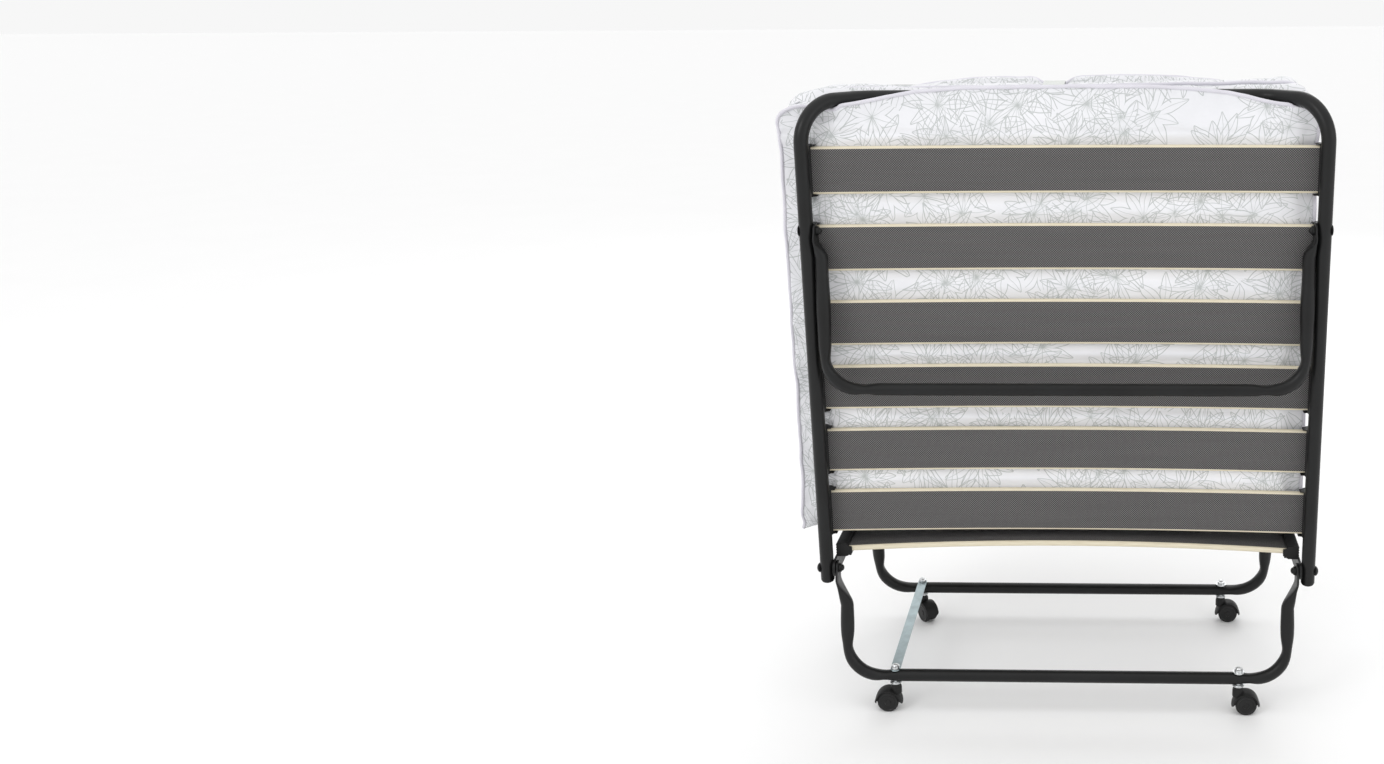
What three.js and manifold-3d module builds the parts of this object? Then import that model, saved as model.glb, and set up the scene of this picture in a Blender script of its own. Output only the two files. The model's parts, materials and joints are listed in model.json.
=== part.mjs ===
// Folding guest bed with a slatted frame and its mattress, folded up and standing on its casters.
// Millimetres, +Z up. The front half is at -Y, and left and right are as seen from the front.
// Each half of the bed is built in a frame of its own: the fold pivot is the origin, +Z runs along the
// side tubes to the end of the bed, and +Y points away from the mattress.
import * as THREE from 'three';
import { mergeVertices } from 'three/addons/utils/BufferGeometryUtils.js';
import Module from 'manifold-3d';

const wasm = await Module();
wasm.setup();

const GAP = 0.3; // between pieces that touch
const degrees = THREE.MathUtils.degToRad;

// Driving dimensions of the frame
const FRAME_WIDTH = 800; // over the side tubes
const FRAME_TUBE = 22; // side tube diameter
const LEG_TUBE = 20; // leg tube diameter
const TUBE_WALL = 1.5;
const HALF_LENGTH = 747; // fold pivot to the middle of the end bar
const PIVOT_SPACING = 262; // between the fold pivots of the two halves
const PIVOT_HEIGHT = 237;
const LEAN = degrees(1.2); // each folded half leans this far outwards
const BOLT_RADIUS = 4;

// End hoop: each side tube bends over the mattress diagonally, then runs along the end bar
const HOOP_OVERHANG = 80;
const HOOP_RISE_RADIUS = 62;
const HOOP_TURN_RADIUS = 60;
const TUBE_END = 20; // side tube beyond the fold pivot

// Slats, counted from the fold pivot
const SLAT_WIDTH = 72;
const SLAT_THICKNESS = 9;
const SLAT_BOW = 12;
const FIRST_SLAT = 91; // pivot to the middle of the first slat
const LOWER_SLAT_PITCH = 105;
const LOWER_SLATS = 4;
const UPPER_SLAT_PITCH = 119;
const UPPER_SLATS = 2;
const CENTRE_SLAT_PITCH = 80;
const CENTRE_SLATS = 3;

// End caps that hold the slats on the mattress side of the tubes
const CAP_HEIGHT = 78;
const CAP_DEPTH = 22;
const CAP_INSET = 21; // from the outside of the frame to the open mouth of the cap
const CAP_STRIP = 2; // strip that joins one row of caps
const POCKET_DEPTH = 12;

// Rails that join the two fold pivots
const RAIL_HEIGHT = 28;
const RAIL_WEB = 4;
const RAIL_FLANGE = 24;
const RAIL_FLANGE_THICKNESS = 3;
const RAIL_GROOVE = 3;
const RAIL_GROOVE_DEPTH = 1;
const RAIL_HOLE_RADIUS = 4;

// Legs: flattened tabs at the pivots, a jog inwards, and a bar across
const TAB_THICKNESS = 4;
const TAB_RADIUS = 12;
const SHOULDER = 12; // pivot to the widest part of the flattened tube
const SHOULDER_WIDTH = 34;
const NECK_RADIUS = 14;
const END_LEG = { drop: 245, tabX: 375.6, tubeX: 367.4, bend: 50, neckTop: 16, neckBottom: 40 };
const CENTRE_LEG = { drop: 178, tabX: 371.3, tubeX: 357, bend: 52, neckTop: 20, neckBottom: 52 };
const END_LEG_PIVOT = 556; // fold pivot to end leg pivot
const END_LEG_REST = degrees(5); // folded end leg, off the side tubes
const CENTRE_LEG_SPLAY = degrees(10);

// Casters and the strut that ties the centre legs
const CASTER_X = 279;
const WHEEL_RADIUS = 17.5;
const WHEEL_WIDTH = 9;
const AXLE_RADIUS = 2.5;
const CASTER_TRAIL = 13;
const HOOD_RADIUS = 21.5;
const HOOD_WIDTH = 25;
const HOOD_WALL = 2.6;
const HOOD_WEB = 5;
const SOCKET_RADIUS = 7.5;
const STRUT_WIDTH = 16;
const STRUT_THICKNESS = 2;

// Mattress, folded once around the middle of the bed
const MATTRESS_LEFT = -436;
const MATTRESS_RIGHT = 386;
const MATTRESS_FACE = 40; // side tube centre to the outer face of the mattress
const MATTRESS_START = 84; // pivot to the lower end of each standing part
const MATTRESS_TOP = 748;
const FOLD_GAP_BOTTOM = 15; // half of the gap between the standing parts
const FOLD_GAP_TOP = 3;
const FOLD_BASE_HALF = 90;
const MATTRESS_CORNER = 14;

// Closing strap round the two end bars
const STRAP_WIDTH = 35;
const STRAP_THICKNESS = 2;
const STRAP_X = -20;
const STRAP_TAIL = 26; // past the rear bar
const STRAP_CLEARANCE = 3.6; // over the rear bar, which rises as its half opens

// Worked out from the above
const SIDE_X = (FRAME_WIDTH - FRAME_TUBE) / 2;
const TUBE_INNER_X = FRAME_WIDTH / 2 - FRAME_TUBE;
const RAIL_X = TUBE_INNER_X - GAP; // outer face of the rail
const RAIL_TOP = PIVOT_HEIGHT + RAIL_HEIGHT / 2;
const HALF_SLATS = LOWER_SLATS + UPPER_SLATS;
const BAR_Y = PIVOT_SPACING / 2 + CENTRE_LEG.drop * Math.sin(CENTRE_LEG_SPLAY);
const BAR_Z = PIVOT_HEIGHT - CENTRE_LEG.drop * Math.cos(CENTRE_LEG_SPLAY);

const paint = (color, roughness, metalness) =>
  new THREE.MeshStandardMaterial({ color, roughness, metalness });
const blackSteel = paint(0x1b1c1b, 0.45, 0.3);
const blackPlastic = paint(0x161616, 0.55, 0);
const slatLaminate = paint(0x55514f, 0.6, 0);
const zinc = paint(0x9fb0b2, 0.35, 0.8);
const cloth = paint(0xe2e4e8, 0.9, 0);
const webbing = paint(0xe8e8e4, 0.85, 0);

const at = (x, y, z) => new THREE.Vector3(x, y, z);

// ---------------------------------------------------------------- solids

function toSolid(geometry) {
  const bare = geometry.clone();
  bare.deleteAttribute('normal');
  bare.deleteAttribute('uv');
  const merged = mergeVertices(bare, 1e-4);
  return new wasm.Manifold(new wasm.Mesh({
    numProp: 3,
    vertProperties: new Float32Array(merged.attributes.position.array),
    triVerts: new Uint32Array(merged.index.array),
  }));
}

function toGeometry(solid) {
  const mesh = solid.getMesh();
  const geometry = new THREE.BufferGeometry();
  geometry.setAttribute('position', new THREE.BufferAttribute(mesh.vertProperties, 3));
  geometry.setIndex(new THREE.BufferAttribute(mesh.triVerts, 1));
  geometry.computeVertexNormals();
  return geometry;
}

const join = (solids) => solids.reduce((whole, next) => whole.add(next));
const cut = (solid, tools) => tools.reduce((rest, tool) => rest.subtract(tool), solid);

function boxBetween(low, high) {
  const size = high.clone().sub(low);
  const middle = high.clone().add(low).multiplyScalar(0.5);
  return new THREE.BoxGeometry(size.x, size.y, size.z).translate(middle.x, middle.y, middle.z);
}

const boxSolid = (low, high) => toSolid(boxBetween(low, high));

// Cylinder between two points, turned so that one with an even number of sides stands on a flat facet
function rod(from, to, radius, sides = 12) {
  const along = to.clone().sub(from);
  const facet = Math.PI / sides;
  const geometry = new THREE.CylinderGeometry(radius, radius, along.length(), sides, 1, false, facet);
  const turn = new THREE.Quaternion().setFromUnitVectors(at(0, 1, 0), along.clone().normalize());
  const middle = from.clone().add(to).multiplyScalar(0.5);
  return toSolid(geometry.applyQuaternion(turn).translate(middle.x, middle.y, middle.z));
}

// Outline drawn in the YZ plane, made solid from x = low to x = high
function plateAcross(shape, low, high, curveSegments = 8) {
  const geometry = new THREE.ExtrudeGeometry(shape, {
    depth: high - low,
    bevelEnabled: false,
    curveSegments,
  });
  const toYZ = new THREE.Matrix4().makeBasis(at(0, 1, 0), at(0, 0, 1), at(1, 0, 0));
  return geometry.applyMatrix4(toYZ).translate(low, 0, 0);
}

// Straight runs joined by round bends. Stations lie only where the direction changes.
class BentPath extends THREE.Curve {
  constructor(corners, radii, stepsPerRightAngle) {
    super();
    this.stations = [];
    const last = corners.length - 1;
    const direction = (i) => corners[i + 1].clone().sub(corners[i]).normalize();
    this.addStation(corners[0], direction(0));
    for (let i = 1; i < last; i += 1) {
      this.addBend(corners[i], direction(i - 1), direction(i), radii[i - 1], stepsPerRightAngle);
    }
    this.addStation(corners[last], direction(last - 1));
  }

  addStation(point, tangent) {
    this.stations.push({ point, tangent });
  }

  addBend(corner, into, out, radius, stepsPerRightAngle) {
    const angle = into.angleTo(out);
    const steps = Math.max(2, Math.ceil((angle / (Math.PI / 2)) * stepsPerRightAngle));
    const start = corner.clone().addScaledVector(into, -radius * Math.tan(angle / 2));
    const sideways = out.clone().addScaledVector(into, -Math.cos(angle)).normalize();
    for (let i = 0; i <= steps; i += 1) {
      const turned = (angle * i) / steps;
      const point = start.clone()
        .addScaledVector(into, radius * Math.sin(turned))
        .addScaledVector(sideways, radius * (1 - Math.cos(turned)));
      const tangent = into.clone().multiplyScalar(Math.cos(turned))
        .addScaledVector(sideways, Math.sin(turned));
      this.addStation(point, tangent);
    }
  }

  nearest(u) {
    return this.stations[Math.round(u * (this.stations.length - 1))];
  }

  getPointAt(u, target = at(0, 0, 0)) {
    return target.copy(this.nearest(u).point);
  }

  getTangentAt(u, target = at(0, 0, 0)) {
    return target.copy(this.nearest(u).tangent);
  }
}

function roundBar(path, radius, sides) {
  const section = Array.from({ length: sides }, (_, i) => {
    const angle = (2 * Math.PI * (i + 0.5)) / sides;
    return new THREE.Vector2(radius * Math.cos(angle), radius * Math.sin(angle));
  });
  return new THREE.ExtrudeGeometry(new THREE.Shape(section), {
    steps: path.stations.length - 1,
    extrudePath: path,
  });
}

// ---------------------------------------------------------------- fasteners

// Bolt along X with a domed head at x = headFace and an acorn nut at x = nutFace, both facing outwards.
// `outwards` is +1 when the head is on the +X side.
function crossBolt(headFace, nutFace, outwards) {
  const HEAD_RADIUS = 8;
  const HEAD_HEIGHT = 5;
  const NUT_RADIUS = 7;
  const NUT_HEIGHT = 8;
  const profile = [
    [0, nutFace - NUT_HEIGHT],
    [NUT_RADIUS * 0.55, nutFace - NUT_HEIGHT + 1],
    [NUT_RADIUS, nutFace - NUT_HEIGHT * 0.55],
    [NUT_RADIUS, nutFace],
    [BOLT_RADIUS, nutFace],
    [BOLT_RADIUS, headFace],
    [HEAD_RADIUS, headFace],
    [HEAD_RADIUS * 0.9, headFace + HEAD_HEIGHT * 0.45],
    [HEAD_RADIUS * 0.5, headFace + HEAD_HEIGHT * 0.9],
    [0, headFace + HEAD_HEIGHT],
  ].map(([r, x]) => new THREE.Vector2(r, x));
  const geometry = new THREE.LatheGeometry(profile, 12);
  geometry.rotateZ(-Math.PI / 2);
  return outwards > 0 ? geometry : geometry.rotateY(Math.PI);
}

function boltHole(x, y, z, reach) {
  return rod(at(x - reach, y, z), at(x + reach, y, z), BOLT_RADIUS + GAP);
}

// ---------------------------------------------------------------- half frames

function hoopPath(startZ) {
  const corners = [
    at(SIDE_X, 0, startZ),
    at(SIDE_X, 0, HALF_LENGTH),
    at(SIDE_X - HOOP_OVERHANG, -HOOP_OVERHANG, HALF_LENGTH),
    at(HOOP_OVERHANG - SIDE_X, -HOOP_OVERHANG, HALF_LENGTH),
    at(-SIDE_X, 0, HALF_LENGTH),
    at(-SIDE_X, 0, startZ),
  ];
  const radii = [HOOP_RISE_RADIUS, HOOP_TURN_RADIUS, HOOP_TURN_RADIUS, HOOP_RISE_RADIUS];
  return new BentPath(corners, radii, 6);
}

// Rounded plug that closes the lower end of a side tube
function tubePlug(x) {
  const RIM = 4;
  const radius = FRAME_TUBE / 2;
  const profile = [[0, 0], [radius, 0], [radius, -RIM / 2], [radius - RIM, -RIM - 1], [0, -RIM - 2]];
  const geometry = new THREE.LatheGeometry(profile.map(([r, z]) => new THREE.Vector2(r, z)).reverse(), 16);
  return toSolid(geometry.rotateX(Math.PI / 2).translate(x, 0, -TUBE_END + 1));
}

function halfFrame() {
  const outside = toSolid(roundBar(hoopPath(-TUBE_END), FRAME_TUBE / 2, 14));
  const inside = toSolid(roundBar(hoopPath(-TUBE_END + 3), FRAME_TUBE / 2 - TUBE_WALL, 8));
  const whole = join([outside, tubePlug(SIDE_X), tubePlug(-SIDE_X)]);
  const holes = [SIDE_X, -SIDE_X].flatMap((x) =>
    [0, END_LEG_PIVOT].map((z) => boltHole(x, 0, z, FRAME_TUBE)));
  return toGeometry(cut(whole, [inside, ...holes]));
}

// ---------------------------------------------------------------- slats and their caps

// Slat lying along X. `endFace` is the y of its outer face at the ends, and it bows towards -Y.
function slat(halfLength, endFace) {
  const STEPS = 10;
  const sag = (x) => SLAT_BOW * (1 - (x / halfLength) ** 2);
  const across = Array.from({ length: STEPS + 1 }, (_, i) => halfLength * (1 - (2 * i) / STEPS));
  const outer = across.map((x) => new THREE.Vector2(x, endFace - sag(x)));
  const inner = across.map((x) => new THREE.Vector2(x, endFace - SLAT_THICKNESS - sag(x))).reverse();
  const geometry = new THREE.ExtrudeGeometry(new THREE.Shape([...outer, ...inner]), {
    depth: SLAT_WIDTH,
    bevelEnabled: false,
  });
  return geometry.translate(0, 0, -SLAT_WIDTH / 2);
}

// One row of caps along Z at the +X side: caps at `places`, joined by a thin strip at y = back.
function capRow(places, mouthX, outerX, back) {
  const front = back - CAP_DEPTH;
  const stripX = mouthX + POCKET_DEPTH + 2;
  const slatFace = back - (CAP_DEPTH - SLAT_THICKNESS) / 2;
  const strip = boxSolid(
    at(stripX, back - CAP_STRIP, places[0]),
    at(outerX - 2, back, places[places.length - 1]),
  );
  const caps = places.map((z) =>
    boxSolid(at(mouthX, front, z - CAP_HEIGHT / 2), at(outerX, back, z + CAP_HEIGHT / 2)));
  const pockets = places.map((z) => boxSolid(
    at(mouthX - 1, slatFace - SLAT_THICKNESS - 2, z - SLAT_WIDTH / 2 - GAP),
    at(mouthX + POCKET_DEPTH, slatFace + GAP, z + SLAT_WIDTH / 2 + GAP),
  ));
  return cut(join([strip, ...caps]), pockets);
}

function halfSlatPlaces() {
  return Array.from({ length: HALF_SLATS }, (_, i) => {
    const lower = Math.min(i, LOWER_SLATS - 1);
    return FIRST_SLAT + lower * LOWER_SLAT_PITCH + (i - lower) * UPPER_SLAT_PITCH;
  });
}

function centreSlatPlaces() {
  return Array.from({ length: CENTRE_SLATS }, (_, i) => (i - (CENTRE_SLATS - 1) / 2) * CENTRE_SLAT_PITCH);
}

// ---------------------------------------------------------------- legs

// Presses the ends of a leg's tube flat: thin across X, wide along Y.
function flattenEnds(geometry, leg) {
  const position = geometry.attributes.position;
  const radius = LEG_TUBE / 2;
  for (let i = 0; i < position.count; i += 1) {
    const depth = -position.getZ(i);
    const share = THREE.MathUtils.clamp(
      (leg.neckBottom - depth) / (leg.neckBottom - leg.neckTop), 0, 1);
    if (share > 0) {
      const centre = Math.sign(position.getX(i)) * THREE.MathUtils.lerp(leg.tubeX, leg.tabX, share);
      const thin = THREE.MathUtils.lerp(1, TAB_THICKNESS / 2 / radius, share);
      const wide = THREE.MathUtils.lerp(1, SHOULDER_WIDTH / 2 / radius, share);
      position.setX(i, centre + (position.getX(i) - centre) * thin);
      position.setY(i, position.getY(i) * wide);
    }
  }
  return geometry;
}

function legTab(leg, side) {
  const shape = new THREE.Shape();
  shape.moveTo(-TAB_RADIUS, -SHOULDER - 8);
  shape.lineTo(TAB_RADIUS, -SHOULDER - 8);
  shape.lineTo(TAB_RADIUS, 0);
  shape.absarc(0, 0, TAB_RADIUS, 0, Math.PI, false);
  shape.closePath();
  const middle = side * leg.tabX;
  return toSolid(plateAcross(shape, middle - TAB_THICKNESS / 2, middle + TAB_THICKNESS / 2));
}

// U-shaped leg hanging down from its pivot line at the origin
function legFrame(leg) {
  const halfPath = [
    at(leg.tabX, 0, -SHOULDER),
    at(leg.tabX, 0, -leg.neckTop),
    at(leg.tubeX, 0, -leg.neckBottom),
    at(leg.tubeX, 0, -leg.drop),
  ];
  const mirrored = halfPath.map((p) => at(-p.x, p.y, p.z)).reverse();
  const radii = [NECK_RADIUS, NECK_RADIUS, leg.bend, leg.bend, NECK_RADIUS, NECK_RADIUS];
  const path = new BentPath([...halfPath, ...mirrored], radii, 5);
  const bar = toSolid(flattenEnds(roundBar(path, LEG_TUBE / 2, 12), leg));
  const whole = join([bar, legTab(leg, 1), legTab(leg, -1)]);
  return cut(whole, [1, -1].map((side) => boltHole(side * leg.tabX, 0, 0, 2 * TAB_THICKNESS)));
}

// Centre leg in its place: splayed from the front or rear fold pivot, with holes for the caster stems
function centreLeg(outwards) {
  const leg = toGeometry(legFrame(CENTRE_LEG));
  leg.rotateX(outwards * CENTRE_LEG_SPLAY).translate(0, (outwards * PIVOT_SPACING) / 2, PIVOT_HEIGHT);
  const y = outwards * BAR_Y;
  const holes = [CASTER_X, -CASTER_X].map((x) =>
    rod(at(x, y, BAR_Z - LEG_TUBE), at(x, y, BAR_Z + LEG_TUBE), BOLT_RADIUS + GAP));
  return toGeometry(cut(toSolid(leg), holes));
}

// ---------------------------------------------------------------- rails and strut

function rail(side) {
  const half = PIVOT_SPACING / 2;
  const radius = RAIL_HEIGHT / 2;
  const shape = new THREE.Shape();
  shape.absarc(half, PIVOT_HEIGHT, radius, -Math.PI / 2, Math.PI / 2, false);
  shape.absarc(-half, PIVOT_HEIGHT, radius, Math.PI / 2, (3 * Math.PI) / 2, false);
  shape.closePath();
  const web = toSolid(plateAcross(shape, RAIL_X - RAIL_WEB, RAIL_X));
  const flangeY = half - 2 * TAB_RADIUS;
  const flange = boxSolid(
    at(RAIL_X - RAIL_FLANGE, -flangeY, RAIL_TOP - RAIL_FLANGE_THICKNESS),
    at(RAIL_X, flangeY, RAIL_TOP),
  );
  const grooves = [1, -1].map((way) => {
    const z = PIVOT_HEIGHT + way * RAIL_HEIGHT * 0.2;
    return boxSolid(
      at(RAIL_X - RAIL_GROOVE_DEPTH, 2 * TAB_RADIUS - half, z - RAIL_GROOVE / 2),
      at(RAIL_X + 1, half - 2 * TAB_RADIUS, z + RAIL_GROOVE / 2),
    );
  });
  const bolts = [half, -half].map((y) => boltHole(RAIL_X, y, PIVOT_HEIGHT, 2 * RAIL_WEB));
  const lowerHoleZ = PIVOT_HEIGHT - radius + RAIL_HOLE_RADIUS + 2;
  const sightHole = rod(
    at(RAIL_X - 2 * RAIL_WEB, 0, lowerHoleZ), at(RAIL_X + RAIL_WEB, 0, lowerHoleZ), RAIL_HOLE_RADIUS);
  const geometry = toGeometry(cut(web.add(flange), [...grooves, ...bolts, sightHole]));
  return side > 0 ? geometry : geometry.rotateZ(Math.PI);
}

function tieStrut() {
  const radius = STRUT_WIDTH / 2;
  const shape = new THREE.Shape();
  shape.absarc(0, BAR_Y, radius, 0, Math.PI, false);
  shape.absarc(0, -BAR_Y, radius, Math.PI, 2 * Math.PI, false);
  shape.closePath();
  const plate = new THREE.ExtrudeGeometry(shape, { depth: STRUT_THICKNESS, bevelEnabled: false });
  const low = BAR_Z + LEG_TUBE / 2 + GAP;
  plate.translate(-CASTER_X, 0, low);
  const holes = [BAR_Y, -BAR_Y].map((y) =>
    rod(at(-CASTER_X, y, low - 2), at(-CASTER_X, y, low + 2 + STRUT_THICKNESS), BOLT_RADIUS + GAP));
  return toGeometry(cut(toSolid(plate), holes));
}

// ---------------------------------------------------------------- casters
// Each caster is built with its stem on the Z axis and its wheels behind it, towards +X.

const SOCKET_TOP = BAR_Z - LEG_TUBE / 2 - 3;
const STEM_DEPTH = 9; // stem inside the socket

// Disc or ring segment around the axle line, from y = low to y = high
function aroundAxle(radius, low, high, sides = 24) {
  return rod(at(CASTER_TRAIL, low, WHEEL_RADIUS), at(CASTER_TRAIL, high, WHEEL_RADIUS), radius, sides);
}

function casterHousing() {
  const half = HOOD_WIDTH / 2;
  const hood = aroundAxle(HOOD_RADIUS, -half, half);
  const belowAxle = boxSolid(
    at(CASTER_TRAIL - 2 * HOOD_RADIUS, -2 * half, -HOOD_RADIUS),
    at(CASTER_TRAIL + 2 * HOOD_RADIUS, 2 * half, WHEEL_RADIUS),
  );
  const pockets = [1, -1].map((side) => {
    const [low, high] = side > 0 ? [HOOD_WEB / 2, half + 1] : [-half - 1, -HOOD_WEB / 2];
    return aroundAxle(HOOD_RADIUS - HOOD_WALL, low, high);
  });
  const boss = aroundAxle(2 * AXLE_RADIUS, -HOOD_WEB / 2, HOOD_WEB / 2);
  const socketFoot = WHEEL_RADIUS + HOOD_RADIUS - 2 * HOOD_WALL;
  const socket = rod(at(0, 0, socketFoot), at(0, 0, SOCKET_TOP), SOCKET_RADIUS);
  const neck = boxSolid(at(0, -HOOD_WEB, WHEEL_RADIUS + HOOD_RADIUS - HOOD_WALL - 4),
    at(CASTER_TRAIL, HOOD_WEB, socketFoot + 3));
  const stemHole = rod(at(0, 0, SOCKET_TOP - STEM_DEPTH - GAP), at(0, 0, SOCKET_TOP + 1), BOLT_RADIUS + GAP);
  const axleHole = aroundAxle(AXLE_RADIUS + GAP, -half, half, 12);
  const body = join([cut(hood, [belowAxle]), boss]);
  const topped = join([cut(body, pockets), socket, cut(neck, pockets)]);
  return toGeometry(cut(topped, [stemHole, axleHole]));
}

function casterWheels() {
  const inner = HOOD_WEB / 2 + GAP;
  const wheels = [1, -1].map((side) => {
    const [low, high] = side > 0 ? [inner, inner + WHEEL_WIDTH] : [-inner - WHEEL_WIDTH, -inner];
    return aroundAxle(WHEEL_RADIUS, low, high);
  });
  const axle = aroundAxle(AXLE_RADIUS, -inner - 1, inner + 1, 12);
  return toGeometry(join([...wheels, axle]));
}

// Stem with its collar under the bar and its nut on top; `washer` fills the strut's place.
function casterStem(washer) {
  const barBottom = BAR_Z - LEG_TUBE / 2 - GAP;
  const barTop = BAR_Z + LEG_TUBE / 2 + GAP;
  const nutFoot = barTop + STRUT_THICKNESS + GAP;
  const NUT = 7;
  const nutRing = washer ? [[9, barTop], [9, nutFoot]] : [[NUT, nutFoot]];
  const profile = [
    [0, SOCKET_TOP - STEM_DEPTH],
    [BOLT_RADIUS, SOCKET_TOP - STEM_DEPTH],
    [BOLT_RADIUS, SOCKET_TOP + GAP],
    [SOCKET_RADIUS, SOCKET_TOP + GAP],
    [SOCKET_RADIUS, barBottom],
    [BOLT_RADIUS, barBottom],
    [BOLT_RADIUS, nutRing[0][1]],
    ...nutRing,
    [NUT, nutFoot + (washer ? GAP : 0)],
    [NUT, nutFoot + 4],
    [NUT * 0.6, nutFoot + 6.5],
    [0, nutFoot + 7.5],
  ].map(([r, z]) => new THREE.Vector2(r, z));
  return new THREE.LatheGeometry(profile, 12).rotateX(Math.PI / 2);
}

// ---------------------------------------------------------------- mattress and strap

// Standing part of the mattress in its half's frame, with a dent where the hoop and the strap's eye lie
function standingMattress(leftX, rightX) {
  const face = -MATTRESS_FACE;
  const inner = (z, gap) => gap - PIVOT_SPACING / 2 - z * Math.sin(LEAN);
  const corners = [
    [face, MATTRESS_START],
    [face, MATTRESS_TOP - MATTRESS_CORNER],
    [face - MATTRESS_CORNER, MATTRESS_TOP],
    [inner(MATTRESS_TOP, FOLD_GAP_TOP) + MATTRESS_CORNER, MATTRESS_TOP],
    [inner(MATTRESS_TOP, FOLD_GAP_TOP), MATTRESS_TOP - MATTRESS_CORNER],
    [inner(MATTRESS_START, FOLD_GAP_BOTTOM), MATTRESS_START],
  ].map(([y, z]) => new THREE.Vector2(y, z));
  const slab = toSolid(plateAcross(new THREE.Shape(corners.reverse()), leftX, rightX));
  const dentRadius = FRAME_TUBE / 2 + STRAP_THICKNESS + 4 * GAP;
  const dent = toSolid(roundBar(hoopPath(-TUBE_END), dentRadius, 12));
  return toGeometry(cut(slab, [dent]));
}

function lyingMattress() {
  const low = RAIL_TOP + (CAP_DEPTH + SLAT_THICKNESS) / 2 + SLAT_BOW + 3 * GAP;
  const high = PIVOT_HEIGHT + MATTRESS_START - GAP;
  return boxBetween(at(MATTRESS_LEFT, -FOLD_BASE_HALF, low), at(MATTRESS_RIGHT, FOLD_BASE_HALF, high));
}

// Middle of the front end bar in the bed's frame, as { y, z }
function frontBar() {
  const outwards = HALF_LENGTH * Math.sin(LEAN) - HOOP_OVERHANG * Math.cos(LEAN);
  const up = HALF_LENGTH * Math.cos(LEAN) + HOOP_OVERHANG * Math.sin(LEAN);
  return { y: -PIVOT_SPACING / 2 - outwards, z: PIVOT_HEIGHT + up };
}

// Strap with an eye round the front bar and a tail over the rear bar
function closingStrap() {
  const bar = frontBar();
  const eye = FRAME_TUBE / 2 + 2 * GAP;
  const outer = eye + STRAP_THICKNESS;
  const low = STRAP_X - STRAP_WIDTH / 2;
  const high = STRAP_X + STRAP_WIDTH / 2;
  const tailEnd = -bar.y + STRAP_TAIL;
  const tailTop = bar.z + outer + STRAP_CLEARANCE;
  const tail = new THREE.Shape([
    [bar.y, bar.z + eye],
    [tailEnd, tailTop - STRAP_THICKNESS],
    [tailEnd, tailTop],
    [bar.y, bar.z + outer],
  ].map(([y, z]) => new THREE.Vector2(y, z)));
  const ring = rod(at(low, bar.y, bar.z), at(high, bar.y, bar.z), outer, 24);
  const hollow = rod(at(low - 1, bar.y, bar.z), at(high + 1, bar.y, bar.z), eye, 24);
  return toGeometry(cut(join([ring, toSolid(plateAcross(tail, low, high))]), [hollow]));
}

// ---------------------------------------------------------------- assembly

function named(name, geometry, material) {
  const mesh = new THREE.Mesh(geometry, material);
  mesh.name = name;
  return mesh;
}

function placed(mesh, x, y, z) {
  mesh.position.set(x, y, z);
  return mesh;
}

const sideName = (x) => (x > 0 ? 'right' : 'left');

// One half of the bed in its own frame. `flip` is -1 where the half is turned round to the front.
function halfAssembly(end, flip) {
  const half = new THREE.Group();
  half.add(named(`${end}_frame`, halfFrame(), blackSteel));

  const capBack = -FRAME_TUBE / 2 - GAP;
  const mouthX = FRAME_WIDTH / 2 - CAP_INSET;
  const slatFace = capBack - (CAP_DEPTH - SLAT_THICKNESS) / 2;
  const places = halfSlatPlaces();
  places.forEach((z, i) => {
    const piece = slat(mouthX + POCKET_DEPTH - GAP, slatFace);
    half.add(placed(named(`${end}_slat_${i + 1}`, piece, slatLaminate), 0, 0, z));
  });

  [1, -1].forEach((x) => {
    const side = sideName(x * flip);
    const row = toGeometry(capRow(places, mouthX, FRAME_WIDTH / 2 - 1, capBack));
    const caps = x > 0 ? row : toGeometry(capRow(places, mouthX, FRAME_WIDTH / 2 - 1, capBack).mirror([1, 0, 0]));
    half.add(named(`${end}_slat_caps_${side}`, caps, blackPlastic));
    const legBolt = crossBolt(
      FRAME_WIDTH / 2 + GAP, END_LEG.tabX - TAB_THICKNESS / 2 - GAP, x);
    half.add(placed(named(`${end}_leg_bolt_${side}`, legBolt, blackSteel), 0, 0, END_LEG_PIVOT));
  });

  const leg = named(`${end}_end_leg`, toGeometry(legFrame(END_LEG)), blackSteel);
  leg.rotation.x = END_LEG_REST;
  half.add(placed(leg, 0, 0, END_LEG_PIVOT));

  const [low, high] = flip > 0 ? [MATTRESS_LEFT, MATTRESS_RIGHT] : [-MATTRESS_RIGHT, -MATTRESS_LEFT];
  half.add(named(`${end}_mattress`, standingMattress(low, high), cloth));

  half.rotation.x = -LEAN;
  const turned = new THREE.Group();
  turned.add(half);
  turned.rotation.z = flip > 0 ? 0 : Math.PI;
  return placed(turned, 0, (flip * PIVOT_SPACING) / 2, PIVOT_HEIGHT);
}

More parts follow.
